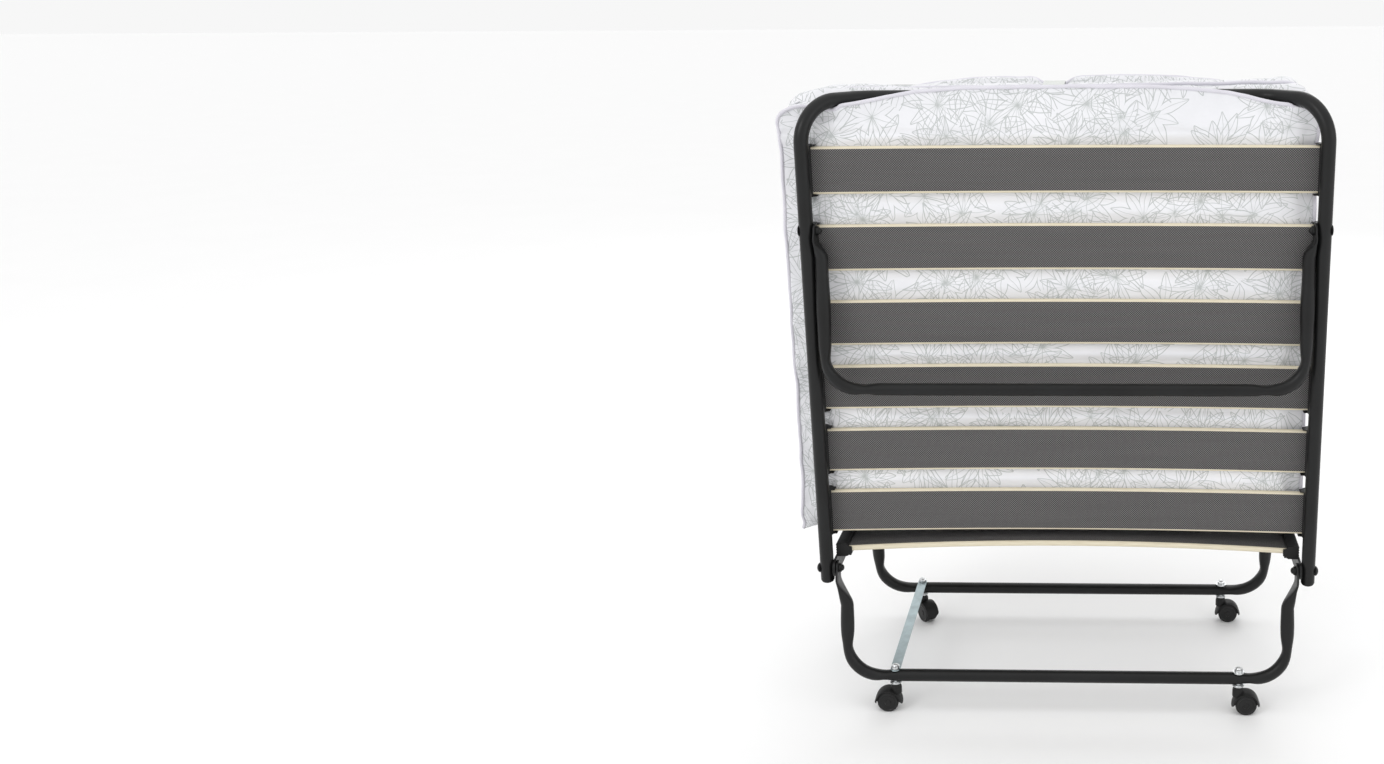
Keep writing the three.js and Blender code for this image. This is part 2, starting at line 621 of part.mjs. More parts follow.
function centreSection() {
  const centre = new THREE.Group();
  const capBack = RAIL_TOP + GAP;
  const outerX = RAIL_X + 4;
  const mouthX = RAIL_X - RAIL_FLANGE + 2;
  const slatFace = capBack + (CAP_DEPTH - SLAT_THICKNESS) / 2;

  // A row or slat built along Z and bowed towards -Y is laid along Y and bowed upwards.
  const layDown = (geometry) => geometry.rotateX(-Math.PI / 2);
  centreSlatPlaces().forEach((y, i) => {
    const piece = layDown(slat(mouthX + POCKET_DEPTH - GAP, -slatFace));
    const name = `centre_slat_${['front', 'middle', 'rear'][i]}`;
    centre.add(placed(named(name, piece, slatLaminate), 0, y, 0));
  });

  [1, -1].forEach((x) => {
    const side = sideName(x);
    centre.add(named(`side_rail_${side}`, rail(x), blackSteel));
    const row = capRow(centreSlatPlaces(), mouthX, outerX, -capBack);
    const caps = layDown(toGeometry(x > 0 ? row : row.mirror([1, 0, 0])));
    centre.add(named(`centre_slat_caps_${side}`, caps, blackPlastic));
  });

  [['front', -1], ['rear', 1]].forEach(([end, way]) => {
    centre.add(named(`${end}_centre_leg`, centreLeg(way), blackSteel));
    [1, -1].forEach((x) => {
      const bolt = crossBolt(FRAME_WIDTH / 2 + GAP, CENTRE_LEG.tabX - TAB_THICKNESS / 2 - GAP, x);
      const mesh = named(`${end}_fold_bolt_${sideName(x)}`, bolt, blackSteel);
      centre.add(placed(mesh, 0, (way * PIVOT_SPACING) / 2, PIVOT_HEIGHT));
    });
  });

  centre.add(named('tie_strut', tieStrut(), zinc));
  centre.add(named('centre_mattress', lyingMattress(), cloth));
  return centre;
}

function caster(end, side, heading) {
  const group = new THREE.Group();
  const name = `${end}_${side}`;
  group.add(named(`caster_housing_${name}`, casterHousing(), blackPlastic));
  group.add(named(`caster_wheels_${name}`, casterWheels(), blackPlastic));
  group.add(named(`caster_stem_${name}`, casterStem(side === 'right'), zinc));
  group.rotation.z = heading;
  return placed(group, (side === 'right' ? 1 : -1) * CASTER_X, (end === 'rear' ? 1 : -1) * BAR_Y, 0);
}

const bed = new THREE.Group();
bed.add(centreSection());
bed.add(halfAssembly('front', -1));
bed.add(halfAssembly('rear', 1));
bed.add(named('closing_strap', closingStrap(), webbing));
bed.add(caster('front', 'left', degrees(180)));
bed.add(caster('front', 'right', 0));
bed.add(caster('rear', 'left', degrees(-50)));
bed.add(caster('rear', 'right', 0));

// The mattress sits off centre and the casters point different ways, so the whole bed is moved until
// the origin is on the floor under the middle of its bounding box.
bed.updateMatrixWorld(true);
const reach = new THREE.Box3().setFromObject(bed, true);
bed.position.set(-(reach.min.x + reach.max.x) / 2, -(reach.min.y + reach.max.y) / 2, -reach.min.z);

export default bed;
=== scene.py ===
"""Folding guest bed, folded up round its mattress: the looks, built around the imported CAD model.

Metres, +Z up. Each half of the bed is built in a space of its own, as in the CAD model: the fold pivot
is the origin, +Z runs along the side tubes to the end of the bed, and +Y points away from the mattress.
"""
import json
import math

import bmesh
import bpy
import numpy as np
from mathutils import Matrix, Vector, noise
from mathutils.bvhtree import BVHTree


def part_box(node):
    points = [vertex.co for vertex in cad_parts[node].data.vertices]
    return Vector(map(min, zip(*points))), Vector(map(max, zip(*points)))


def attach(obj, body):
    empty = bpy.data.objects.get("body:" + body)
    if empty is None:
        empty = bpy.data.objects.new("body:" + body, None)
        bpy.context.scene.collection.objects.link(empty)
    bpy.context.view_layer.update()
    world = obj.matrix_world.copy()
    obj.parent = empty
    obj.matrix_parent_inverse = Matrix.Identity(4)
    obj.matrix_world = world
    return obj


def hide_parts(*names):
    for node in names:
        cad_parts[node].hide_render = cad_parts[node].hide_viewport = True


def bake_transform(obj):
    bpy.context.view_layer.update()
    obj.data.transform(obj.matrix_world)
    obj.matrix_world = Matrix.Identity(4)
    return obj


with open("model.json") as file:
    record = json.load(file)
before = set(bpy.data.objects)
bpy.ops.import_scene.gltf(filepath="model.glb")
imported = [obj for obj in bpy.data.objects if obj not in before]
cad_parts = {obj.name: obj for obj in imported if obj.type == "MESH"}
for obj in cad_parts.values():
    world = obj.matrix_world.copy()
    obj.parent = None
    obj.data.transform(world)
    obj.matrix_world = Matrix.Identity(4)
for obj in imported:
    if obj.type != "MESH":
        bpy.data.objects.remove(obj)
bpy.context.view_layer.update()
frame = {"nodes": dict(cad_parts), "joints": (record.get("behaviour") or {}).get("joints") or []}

TAU = 2 * math.pi
RIGHT_ANGLE = math.pi / 2
ENDS = ("front", "rear")
SIDES = ("left", "right")
CENTRE_SLATS = ("centre_slat_front", "centre_slat_middle", "centre_slat_rear")

# Driving sizes, the same as in the CAD model
LEAN = math.radians(1.2)
FRAME_WIDTH = 0.800
FRAME_RADIUS = 0.011
LEG_RADIUS = 0.010
HALF_LENGTH = 0.747
HOOP_OVERHANG = 0.080
HOOP_RISE_RADIUS = 0.062
HOOP_TURN_RADIUS = 0.060
TUBE_END = 0.020
SLAT_WIDTH = 0.072
SLAT_THICKNESS = 0.009
SLAT_BOW = 0.012
CAP_HEIGHT = 0.078
CAP_DEPTH = 0.022
CAP_INSET = 0.021
POCKET_DEPTH = 0.012
TAB_THICKNESS = 0.004
TAB_RADIUS = 0.012
SHOULDER = 0.012
SHOULDER_WIDTH = 0.034
END_LEG = dict(drop=0.245, tab_x=0.3756, tube_x=0.3674, bend=0.050, neck_top=0.016, neck_bottom=0.040)
CENTRE_LEG = dict(drop=0.178, tab_x=0.3713, tube_x=0.357, bend=0.052, neck_top=0.020, neck_bottom=0.060)
END_LEG_PIVOT = 0.556
END_LEG_REST = math.radians(5)
CENTRE_LEG_SPLAY = math.radians(10)
WHEEL_RADIUS = 0.0175
WHEEL_WIDTH = 0.009
CASTER_TRAIL = 0.013
HOOD_RADIUS = 0.0215
HOOD_WIDTH = 0.025
HOOD_WEB = 0.005
GAP = 0.0003

SIDE_X = FRAME_WIDTH / 2 - FRAME_RADIUS
CAP_BACK = -FRAME_RADIUS - GAP
MOUTH_X = FRAME_WIDTH / 2 - CAP_INSET
SLAT_FACE = CAP_BACK - (CAP_DEPTH - SLAT_THICKNESS) / 2

# Places read from the frame
PIVOT = {j["name"]: Vector(j["pos_m"]) for j in frame["joints"]}
FOLD = {end: PIVOT[f"{end}_half_fold"] for end in ENDS}
MIDDLE_X = FOLD["front"].x
MIDDLE_Y = (FOLD["front"].y + FOLD["rear"].y) / 2
FOLD_HALF = (FOLD["rear"].y - FOLD["front"].y) / 2
FOLD_Z = FOLD["front"].z
WAY = {"front": -1, "rear": 1}


def half_space(end):
    """From a half's own space to the row frame."""
    turn = Matrix.Rotation(math.pi if end == "front" else 0, 4, "Z")
    return Matrix.Translation(FOLD[end]) @ turn @ Matrix.Rotation(-LEAN, 4, "X")


def node_middle(node):
    low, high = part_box(node)
    return (low + high) / 2


# ---------------------------------------------------------------- material nodes


class Shader:
    """One material's node tree, with short calls for the nodes that it is made of."""

    def __init__(self, name, roughness, **fixed):
        self.material = bpy.data.materials.new(name)
        self.material.use_nodes = True
        self.tree = self.material.node_tree
        self.surface = self.tree.nodes["Principled BSDF"]
        self.surface.inputs["Roughness"].default_value = roughness
        for socket, value in fixed.items():
            self.surface.inputs[socket.replace("_", " ")].default_value = value

    def node(self, kind, inputs=(), **settings):
        made = self.tree.nodes.new(f"ShaderNode{kind}")
        for key, value in settings.items():
            setattr(made, key, value)
        for key, value in dict(inputs).items():
            self.feed(made.inputs[key], value)
        return made

    def feed(self, socket, value):
        if isinstance(value, bpy.types.NodeSocket):
            self.tree.links.new(value, socket)
        else:
            socket.default_value = value

    def coordinate(self, kind="Object"):
        return self.node("TexCoord").outputs[kind]

    def map(self, name):
        return self.node("UVMap", uv_map=name).outputs[0]

    def math(self, operation, a, b=0.0, clamp=False):
        made = self.node("Math", operation=operation, use_clamp=clamp)
        self.feed(made.inputs[0], a)
        self.feed(made.inputs[1], b)
        return made.outputs[0]

    def split(self, vector):
        made = self.node("SeparateXYZ", {0: vector})
        return made.outputs

    def join(self, x, y, z=0.0):
        return self.node("CombineXYZ", {0: x, 1: y, 2: z}).outputs[0]

    def shift(self, vector, offset, scale=(1, 1, 1)):
        return self.node("Mapping", {0: vector, 1: offset, 3: scale}).outputs[0]

    def noise(self, vector, scale, detail=3.0, roughness=0.5):
        inputs = {"Vector": vector, "Scale": scale, "Detail": detail, "Roughness": roughness}
        return self.node("TexNoise", inputs).outputs[0]

    def range(self, value, low, high, to_low=0.0, to_high=1.0):
        inputs = {0: value, 1: low, 2: high, 3: to_low, 4: to_high}
        return self.node("MapRange", inputs, interpolation_type="SMOOTHSTEP").outputs[0]

    def mix(self, share, a, b):
        made = self.node("Mix", data_type="RGBA")
        self.feed(made.inputs[0], share)
        self.feed(made.inputs[6], a)
        self.feed(made.inputs[7], b)
        return made.outputs[2]

    def colour(self, value):
        self.feed(self.surface.inputs["Base Color"], value)

    def roughness(self, value):
        self.feed(self.surface.inputs["Roughness"], value)

    def bump(self, height, distance, strength=1.0, under=None):
        inputs = {"Height": height, "Distance": distance, "Strength": strength}
        if under is not None:
            inputs["Normal"] = under
        return self.node("Bump", inputs).outputs[0]

    def normal(self, value):
        self.feed(self.surface.inputs["Normal"], value)


def grey(level, tint=(1, 1, 1)):
    return tuple(level * t for t in tint) + (1.0,)


def powder_coat():
    """Satin black paint with a fine orange peel, worn a little thinner in patches."""
    s = Shader("black_powder_coat", 0.38, Specular_IOR_Level=0.28, IOR=1.5)
    place = s.coordinate()
    patches = s.noise(place, 14.0, 4.0)
    peel = s.noise(place, 700.0, 2.0)
    dust = s.noise(place, 160.0, 5.0, 0.7)
    s.colour(s.mix(s.range(patches, 0.3, 0.7), grey(0.006), grey(0.009, (0.95, 1.0, 1.03))))
    s.roughness(s.range(dust, 0.3, 0.75, 0.30, 0.46))
    s.normal(s.bump(peel, 0.00025, 0.35, s.bump(dust, 0.0004, 0.12)))
    return s.material


def moulded_plastic(name, level, roughness):
    """Matte black moulding with a fine spark-eroded texture."""
    s = Shader(name, roughness, Specular_IOR_Level=0.30, IOR=1.46)
    place = s.coordinate()
    grain = s.noise(place, 1400.0, 3.0)
    flow = s.noise(place, 35.0, 3.0)
    s.colour(s.mix(s.range(flow, 0.3, 0.7), grey(level), grey(level * 1.5)))
    s.roughness(s.range(flow, 0.3, 0.7, roughness - 0.06, roughness + 0.08))
    s.normal(s.bump(grain, 0.00012, 0.5))
    return s.material


def slat_laminate():
    """Dark grey paper foil printed with a fine diagonal weave."""
    s = Shader("slat_laminate", 0.5, IOR=1.45)
    across, along, _ = s.split(s.map("Flat"))
    PITCH = 0.0036
    one = s.math("SINE", s.math("MULTIPLY", across, TAU / PITCH))
    other = s.math("SINE", s.math("MULTIPLY", along, TAU / PITCH))
    dots = s.range(s.math("MULTIPLY", one, other), 0.0, 0.5)
    streaks = s.noise(s.shift(s.map("Flat"), (0, 0, 0), (6, 90, 1)), 1.0, 4.0)
    base = s.mix(s.range(streaks, 0.3, 0.7), grey(0.026, (1.03, 0.98, 0.98)), grey(0.034, (1.02, 0.98, 0.98)))
    s.colour(s.mix(dots, base, grey(0.20, (1.0, 0.97, 0.96))))
    s.roughness(s.range(dots, 0.0, 1.0, 0.56, 0.42))
    s.normal(s.bump(dots, 0.00006, 0.6))
    return s.material


def ply_edge():
    """Pale cut edge of the bent plywood: thin plies and fine pores."""
    s = Shader("ply_edge", 0.62, IOR=1.45)
    place = s.map("Flat")
    along, round_it, _ = s.split(place)
    plies = s.math("SINE", s.math("MULTIPLY", round_it, TAU / 0.0017))
    grain = s.noise(s.shift(place, (0, 0, 0), (30, 900, 1)), 1.0, 5.0, 0.65)
    pale = s.mix(s.range(grain, 0.3, 0.75), grey(0.80, (1.0, 0.93, 0.74)), grey(0.62, (1.0, 0.88, 0.64)))
    s.colour(s.mix(s.range(plies, 0.1, 1.0, 0.0, 0.45), pale, grey(0.48, (1.0, 0.85, 0.60))))
    s.normal(s.bump(grain, 0.0002, 0.35))
    return s.material


def zinc_plate(name="zinc_plate", tint=(0.84, 1.0, 1.04), level=0.40):
    """Bright zinc with the soft cloudy tone of its passivation and fine rolling lines."""
    s = Shader(name, 0.34, Metallic=1.0)
    place = s.coordinate()
    cloud = s.noise(place, 42.0, 4.0, 0.6)
    lines = s.noise(s.shift(place, (0, 0, 0), (900, 30, 900)), 1.0, 3.0)
    s.colour(s.mix(s.range(cloud, 0.3, 0.7), grey(level, tint), grey(level * 1.35, tint)))
    s.roughness(s.range(cloud, 0.25, 0.75, 0.28, 0.42))
    s.normal(s.bump(lines, 0.0001, 0.25))
    return s.material


def flower_lines(s, place, cell, petal_count, reach, width):
    """Loose flowers drawn in fine lines: overlapping ribbed petals round scattered centres.
    Returns how much line there is, and how near the flower's centre is."""
    LINE = 0.0009
    spots = s.node("TexVoronoi", {"Vector": place, "Scale": 1 / cell, "Randomness": 0.70},
                   voronoi_dimensions="2D")
    away = s.node("VectorMath", {0: place, 1: spots.outputs["Position"]}, operation="SUBTRACT").outputs[0]
    x, y, _ = s.split(away)
    distance = s.node("VectorMath", {0: away}, operation="LENGTH").outputs["Value"]
    chance, second_chance, _ = s.split(spots.outputs["Color"])
    turned = s.math("ADD", s.math("ARCTAN2", y, x), s.math("MULTIPLY", chance, TAU))
    counted = s.math("MULTIPLY", turned, petal_count / TAU)
    petal = s.math("FLOOR", counted)
    off_rib = s.math("ABSOLUTE", s.math("SUBTRACT", s.math("SUBTRACT", counted, petal), 0.5))
    sideways = s.math("MULTIPLY", s.math("MULTIPLY", off_rib, TAU / petal_count), distance)
    lot = s.node("TexWhiteNoise", {"Vector": s.join(petal, chance, second_chance)}).outputs[0]
    length = s.math("MULTIPLY", s.range(lot, 0.0, 1.0, 0.66, 1.0), reach)
    share = s.math("DIVIDE", distance, length, clamp=True)
    belly = s.math("MULTIPLY", s.math("SINE", s.math("MULTIPLY", share, math.pi)), width)
    outline = s.math("ABSOLUTE", s.math("SUBTRACT", sideways, belly))
    rib = s.math("MULTIPLY", s.math("PINGPONG", s.math("DIVIDE", sideways, belly), 0.5), belly)
    rib_line = s.math("MULTIPLY", s.range(rib, LINE * 0.2, LINE * 0.8, 0.8, 0.0),
                      s.math("LESS_THAN", sideways, belly))
    drawn = s.math("MAXIMUM", s.range(outline, LINE * 0.4, LINE, 1.0, 0.0), rib_line)
    inside = s.range(share, 0.97, 1.0, 1.0, 0.0)
    return s.math("MULTIPLY", drawn, inside), s.range(distance, 0.0, reach * 0.26, 1.0, 0.0)


# Offset, distance between flowers, petals, their length and half width
FLOWER_LAYERS = [
    ((0.0, 0.0, 0.0), 0.100, 9, 0.068, 0.0086),
    ((0.048, 0.039, 0.0), 0.094, 8, 0.062, 0.0090),
    ((0.021, 0.083, 0.0), 0.105, 10, 0.066, 0.0070),
]


def mattress_cloth():
    """White woven cover with a loose sage line print; the thread is in the bump."""
    s = Shader("mattress_cloth", 0.85, Sheen_Weight=0.25, Sheen_Roughness=0.5, IOR=1.4)
    place = s.map("Cloth")
    wobble = s.node("TexNoise", {"Vector": place, "Scale": 22.0, "Detail": 2.0}).outputs["Color"]
    drift = s.node("VectorMath", {0: wobble, 1: (0.5, 0.5, 0.5)}, operation="SUBTRACT").outputs[0]
    drift = s.node("VectorMath", {0: drift, "Scale": 0.012}, operation="SCALE").outputs[0]
    bent = s.node("VectorMath", {0: place, 1: drift}, operation="ADD").outputs[0]
    drawn = heart = 0.0
    for offset, cell, petals, reach, width in FLOWER_LAYERS:
        lines, centre = flower_lines(s, s.shift(bent, offset), cell, petals, reach, width)
        drawn = s.math("MAXIMUM", drawn, lines)
        heart = s.math("MAXIMUM", heart, centre)
    clouds = s.noise(place, 9.0, 3.0)
    bright = grey(0.80, (0.985, 0.988, 1.02))
    dull = grey(0.76, (0.98, 0.985, 1.02))
    ground = s.mix(s.range(clouds, 0.3, 0.7), bright, dull)
    washed = s.mix(s.math("MULTIPLY", heart, 0.22), ground, grey(0.50, (0.92, 1.0, 0.96)))
    s.colour(s.mix(s.math("MULTIPLY", drawn, 0.70), washed, grey(0.37, (0.92, 1.0, 0.96))))
    x, y, _ = s.split(place)
    THREAD = 0.0011
    warp = s.math("SINE", s.math("MULTIPLY", x, TAU / THREAD))
    weft = s.math("SINE", s.math("MULTIPLY", y, TAU / THREAD))
    puckers = s.noise(s.shift(place, (0, 0, 0), (1.0, 1.6, 1.0)), 60.0, 4.0, 0.6)
    soft = s.bump(puckers, 0.003, 0.30)
    s.normal(s.bump(s.math("MULTIPLY", warp, weft), 0.00012, 0.30, soft))
    return s.material


def piping_cloth():
    """Lavender-white woven tape wrapped round a cord, with slanting threads."""
    s = Shader("piping_cloth", 0.8, Sheen_Weight=0.3, Sheen_Roughness=0.4, IOR=1.4)
    along, round_it, _ = s.split(s.map("Flat"))
    slant = s.math("ADD", s.math("MULTIPLY", along, TAU / 0.0022), s.math("MULTIPLY", round_it, TAU / 0.0030))
    thread = s.range(s.math("SINE", slant), -0.6, 0.9)
    clouds = s.noise(s.coordinate(), 25.0, 3.0)
    pale = s.mix(s.range(clouds, 0.3, 0.7), grey(0.80, (0.99, 0.97, 1.05)), grey(0.72, (0.99, 0.97, 1.05)))
    s.colour(s.mix(thread, grey(0.62, (0.99, 0.97, 1.05)), pale))
    s.normal(s.bump(thread, 0.0004, 0.45))
    return s.material


def woven_tape(name, tint, level):
    """Flat webbing woven in a herringbone."""
    s = Shader(name, 0.75, Sheen_Weight=0.2, Sheen_Roughness=0.4, IOR=1.42)
    along, across, _ = s.split(s.map("Flat"))
    ROW = 0.006
    zigzag = s.math("PINGPONG", across, ROW / 2)
    slant = s.math("MULTIPLY", s.math("ADD", along, zigzag), TAU / 0.0016)
    thread = s.range(s.math("SINE", slant), -0.7, 0.7)
    s.colour(s.mix(thread, grey(level * 0.75, tint), grey(level, tint)))
    s.normal(s.bump(thread, 0.0004, 0.5))
    return s.material


MATERIALS = {
    "steel": powder_coat(),
    "plastic": moulded_plastic("cap_plastic", 0.007, 0.50),
    "wheel": moulded_plastic("wheel_plastic", 0.010, 0.36),
    "laminate": slat_laminate(),
    "ply": ply_edge(),
    "zinc": zinc_plate(),
    "bright": zinc_plate("bright_steel", (0.97, 0.99, 1.0), 0.62),
    "cloth": mattress_cloth(),
    "piping": piping_cloth(),
    "tape": woven_tape("zip_tape", (0.98, 0.98, 1.02), 0.76),
    "webbing": woven_tape("strap_webbing", (0.97, 1.0, 0.96), 0.74),
}


# ---------------------------------------------------------------- mesh building


def new_piece(name, vertices, faces, material, marks=None, flat=None):
    """A mesh object in the row frame. `marks` gives each face's material, `flat` each vertex's UV."""
    mesh = bpy.data.meshes.new(name)
    mesh.from_pydata([tuple(v) for v in vertices], [], faces)
    names = [material] if isinstance(material, str) else material
    for each in names:
        mesh.materials.append(MATERIALS[each])
    if marks is not None:
        mesh.polygons.foreach_set("material_index", marks)
    if flat is not None:
        layer = mesh.uv_layers.new(name="Flat")
        by_loop = len(flat) == len(mesh.loops)
        for loop in mesh.loops:
            layer.data[loop.index].uv = flat[loop.index if by_loop else loop.vertex_index]
    mesh.polygons.foreach_set("use_smooth", [True] * len(mesh.polygons))
    piece = bpy.data.objects.new(name, mesh)
    bpy.context.scene.collection.objects.link(piece)
    return piece


def crease_sharply(piece, degrees=35):
    """Marks the edges between faces that meet at more than this angle as sharp."""
    sheet = bmesh.new()
    sheet.from_mesh(piece.data)
    limit = math.radians(degrees)
    for edge in sheet.edges:
        if len(edge.link_faces) == 2 and edge.calc_face_angle() > limit:
            edge.smooth = False
    sheet.to_mesh(piece.data)
    sheet.free()
    return piece


def bevelled(piece, width, segments=2, degrees=35):
    modifier = piece.modifiers.new("Rounded edges", "BEVEL")
    modifier.width = width
    modifier.segments = segments
    modifier.limit_method = "ANGLE"
    modifier.angle_limit = math.radians(degrees)
    modifier.harden_normals = True
    return piece


def bent_path(corners, radii, spacing=0.006):
    """Evenly spaced points along straight runs joined by round bends."""
    corners = [Vector(c) for c in corners]
    points = [corners[0]]
    for before, corner, after, radius in zip(corners, corners[1:], corners[2:], radii):
        into = (corner - before).normalized()
        out = (after - corner).normalized()
        angle = into.angle(out)
        start = corner - into * radius * math.tan(angle / 2)
        sideways = (out - into * math.cos(angle)).normalized()
        steps = max(3, math.ceil(angle * radius / spacing))
        for i in range(steps + 1):
            turned = angle * i / steps
            points.append(start + into * radius * math.sin(turned)
                          + sideways * radius * (1 - math.cos(turned)))
    points.append(corners[-1])
    dense = [points[0]]
    for a, b in zip(points, points[1:]):
        steps = max(1, math.ceil((b - a).length / spacing - 0.3))
        dense += [a.lerp(b, (i + 1) / steps) for i in range(steps)]
    return dense


def directions(path, closed=False):
    count = len(path)
    found = []
    for i in range(count):
        after = path[(i + 1) % count] if closed else path[min(i + 1, count - 1)]
        before = path[i - 1] if closed else path[max(i - 1, 0)]
        found.append((after - before).normalized())
    return found


def sweep(name, path, section, material, up=(0, 1, 0), marks=None, space=None, closed=False):
    """A closed body swept along a path. section(i) gives ring i as (across, up) offsets, and
    `marks` the material of each strip of the ring."""
    up = Vector(up)
    rings = []
    flat = []
    travelled = 0.0
    for i, (point, forward) in enumerate(zip(path, directions(path, closed))):
        up = (up - forward * up.dot(forward)).normalized()
        across = up.cross(forward)
        offsets = section(i)
        rings.append([point + across * a + up * b for a, b in offsets])
        travelled += (point - path[i - 1]).length if i else 0.0
        lengths = [0.0]
        for p, q in zip(offsets, offsets[1:]):
            lengths.append(lengths[-1] + math.dist(p, q))
        flat.append([(travelled, length) for length in lengths])
    sides = len(rings[0])
    vertices = [v for ring in rings for v in ring]
    faces = []
    face_marks = []
    loops = []
    total = len(rings)
    for i in range(total if closed else total - 1):
        nxt = (i + 1) % total
        end_u = flat[nxt][0][0] if nxt else travelled + (path[0] - path[-1]).length
        for k in range(sides):
            j = (k + 1) % sides
            around = flat[i][k][1]
            after = flat[i][j][1] if j else around + math.dist(section(i)[k], section(i)[0])
            faces.append((i * sides + k, i * sides + j, nxt * sides + j, nxt * sides + k))
            loops += [(flat[i][k][0], around), (flat[i][k][0], after), (end_u, after), (end_u, around)]
            face_marks.append(marks[k] if marks else 0)
    if not closed:
        for ring, order in ((0, -1), (total - 1, 1)):
            faces.append(tuple(ring * sides + k for k in range(sides))[::order])
            loops += [(v.x, v.z) for v in rings[ring]][::order]
            face_marks.append(marks[0] if marks else 0)
    if space is not None:
        vertices = [space @ v for v in vertices]
    return new_piece(name, vertices, faces, material, face_marks, loops)


def ring_of(width, height, sides=28, squareness=2.0):
    """Outline between an ellipse (squareness 2) and a rectangle, as (across, up) offsets."""
    def power(value):
        return math.copysign(abs(value) ** (2 / squareness), value)
    turns = [TAU * (k + 0.5) / sides for k in range(sides)]
    return [(width * power(math.cos(t)), height * power(math.sin(t))) for t in turns]


def lathe(name, profile, material, space, sides=32):
    """A closed body turned about Z from (radius, height) points that start and end on the axis."""
    vertices = [Vector((0, 0, profile[0][1]))]
    for radius, height in profile[1:-1]:
        vertices += [Vector((radius * math.cos(TAU * k / sides), radius * math.sin(TAU * k / sides), height))
                     for k in range(sides)]
    vertices.append(Vector((0, 0, profile[-1][1])))
    faces = []
    last = len(profile) - 3
    for k in range(sides):
        j = (k + 1) % sides
        faces.append((0, 1 + j, 1 + k))
        for ring in range(last):
            low = 1 + ring * sides
            faces.append((low + k, low + j, low + sides + j, low + sides + k))
        top = 1 + last * sides
        faces.append((top + k, top + j, len(vertices) - 1))
    flat = [(v.x, v.y) for v in vertices]
    piece = new_piece(name, [space @ v for v in vertices], faces, material, None, flat)
    upside_down = profile[-1][1] < profile[0][1]
    if upside_down:
        piece.data.flip_normals()
    return crease_sharply(piece)


def prism(outlines, low, high, space):
    """Vertices and faces of closed outlines in XY, each made solid from z = low to z = high."""
    vertices = []
    faces = []
    for outline in outlines:
        first = len(vertices)
        count = len(outline)
        vertices += [space @ Vector((x, y, z)) for z in (low, high) for x, y in outline]
        faces.append(tuple(first + k for k in range(count))[::-1])
        faces.append(tuple(first + count + k for k in range(count)))
        faces += [(first + k, first + (k + 1) % count, first + count + (k + 1) % count, first + count + k)
                  for k in range(count)]
    return vertices, faces


def joined(name, parts, material):
    """One piece made of several (vertices, faces) bodies."""
    vertices = []
    faces = []
    for part_vertices, part_faces in parts:
        first = len(vertices)
        vertices += part_vertices
        faces += [tuple(first + v for v in face) for face in part_faces]
    return new_piece(name, vertices, faces, material)


def finish_piece(piece, body, slot, *nodes):
    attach(piece, body)
    if nodes:
        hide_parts(*nodes)
    return piece


# ---------------------------------------------------------------- tubes


def hoop_path(start=-TUBE_END):
    over = SIDE_X - HOOP_OVERHANG
    corners = [(SIDE_X, 0, start), (SIDE_X, 0, HALF_LENGTH), (over, -HOOP_OVERHANG, HALF_LENGTH),
               (-over, -HOOP_OVERHANG, HALF_LENGTH), (-SIDE_X, 0, HALF_LENGTH), (-SIDE_X, 0, start)]
    radii = [HOOP_RISE_RADIUS, HOOP_TURN_RADIUS, HOOP_TURN_RADIUS, HOOP_RISE_RADIUS]
    return bent_path(corners, radii)


def side_tubes(end):
    """The hoop of side tubes and end bar, and the rounded plugs in its lower ends."""
    space = half_space(end)
    round_ring = ring_of(FRAME_RADIUS, FRAME_RADIUS, 32)
    hoop = sweep(f"{end}_hoop_tube", hoop_path(), lambda i: round_ring, "steel", space=space)
    finish_piece(crease_sharply(hoop), f"{end}_half", "black_steel", f"{end}_frame")
    RIM = 0.0055
    dome = [(0.0, 0.002), (FRAME_RADIUS * 0.96, 0.002)]
    dome += [(FRAME_RADIUS * 0.96 * math.cos(t) ** 0.7, -RIM * math.sin(t))
             for t in np.linspace(0, RIGHT_ANGLE * 0.93, 7)]
    dome.append((0.0, -RIM))
    for side in SIDES:
        x = SIDE_X * (1 if (side == "right") == (end == "rear") else -1)
        there = space @ Matrix.Translation((x, 0, -TUBE_END))
        plug = lathe(f"{end}_tube_plug_{side}", dome, "plastic", there)
        finish_piece(plug, f"{end}_half", "black_plastic")


def leg_points(leg):
    """U-shaped path of a leg below its pivot line, from one rounded tab to the other."""
    half = [(leg["tab_x"], 0, TAB_RADIUS * 0.97), (leg["tab_x"], 0, -leg["neck_top"]),
            (leg["tube_x"], 0, -leg["neck_bottom"]), (leg["tube_x"], 0, -leg["drop"])]
    other = [(-x, y, z) for x, y, z in half[::-1]]
    NECK = 0.020
    return bent_path(half + other, [NECK, NECK, leg["bend"], leg["bend"], NECK, NECK], 0.003)


def blend_share(value, low, high):
    """Smooth step from 0 at low to 1 at high, for a number or an array."""
    t = np.clip((value - low) / (high - low), 0.0, 1.0)
    return t * t * (3 - 2 * t)


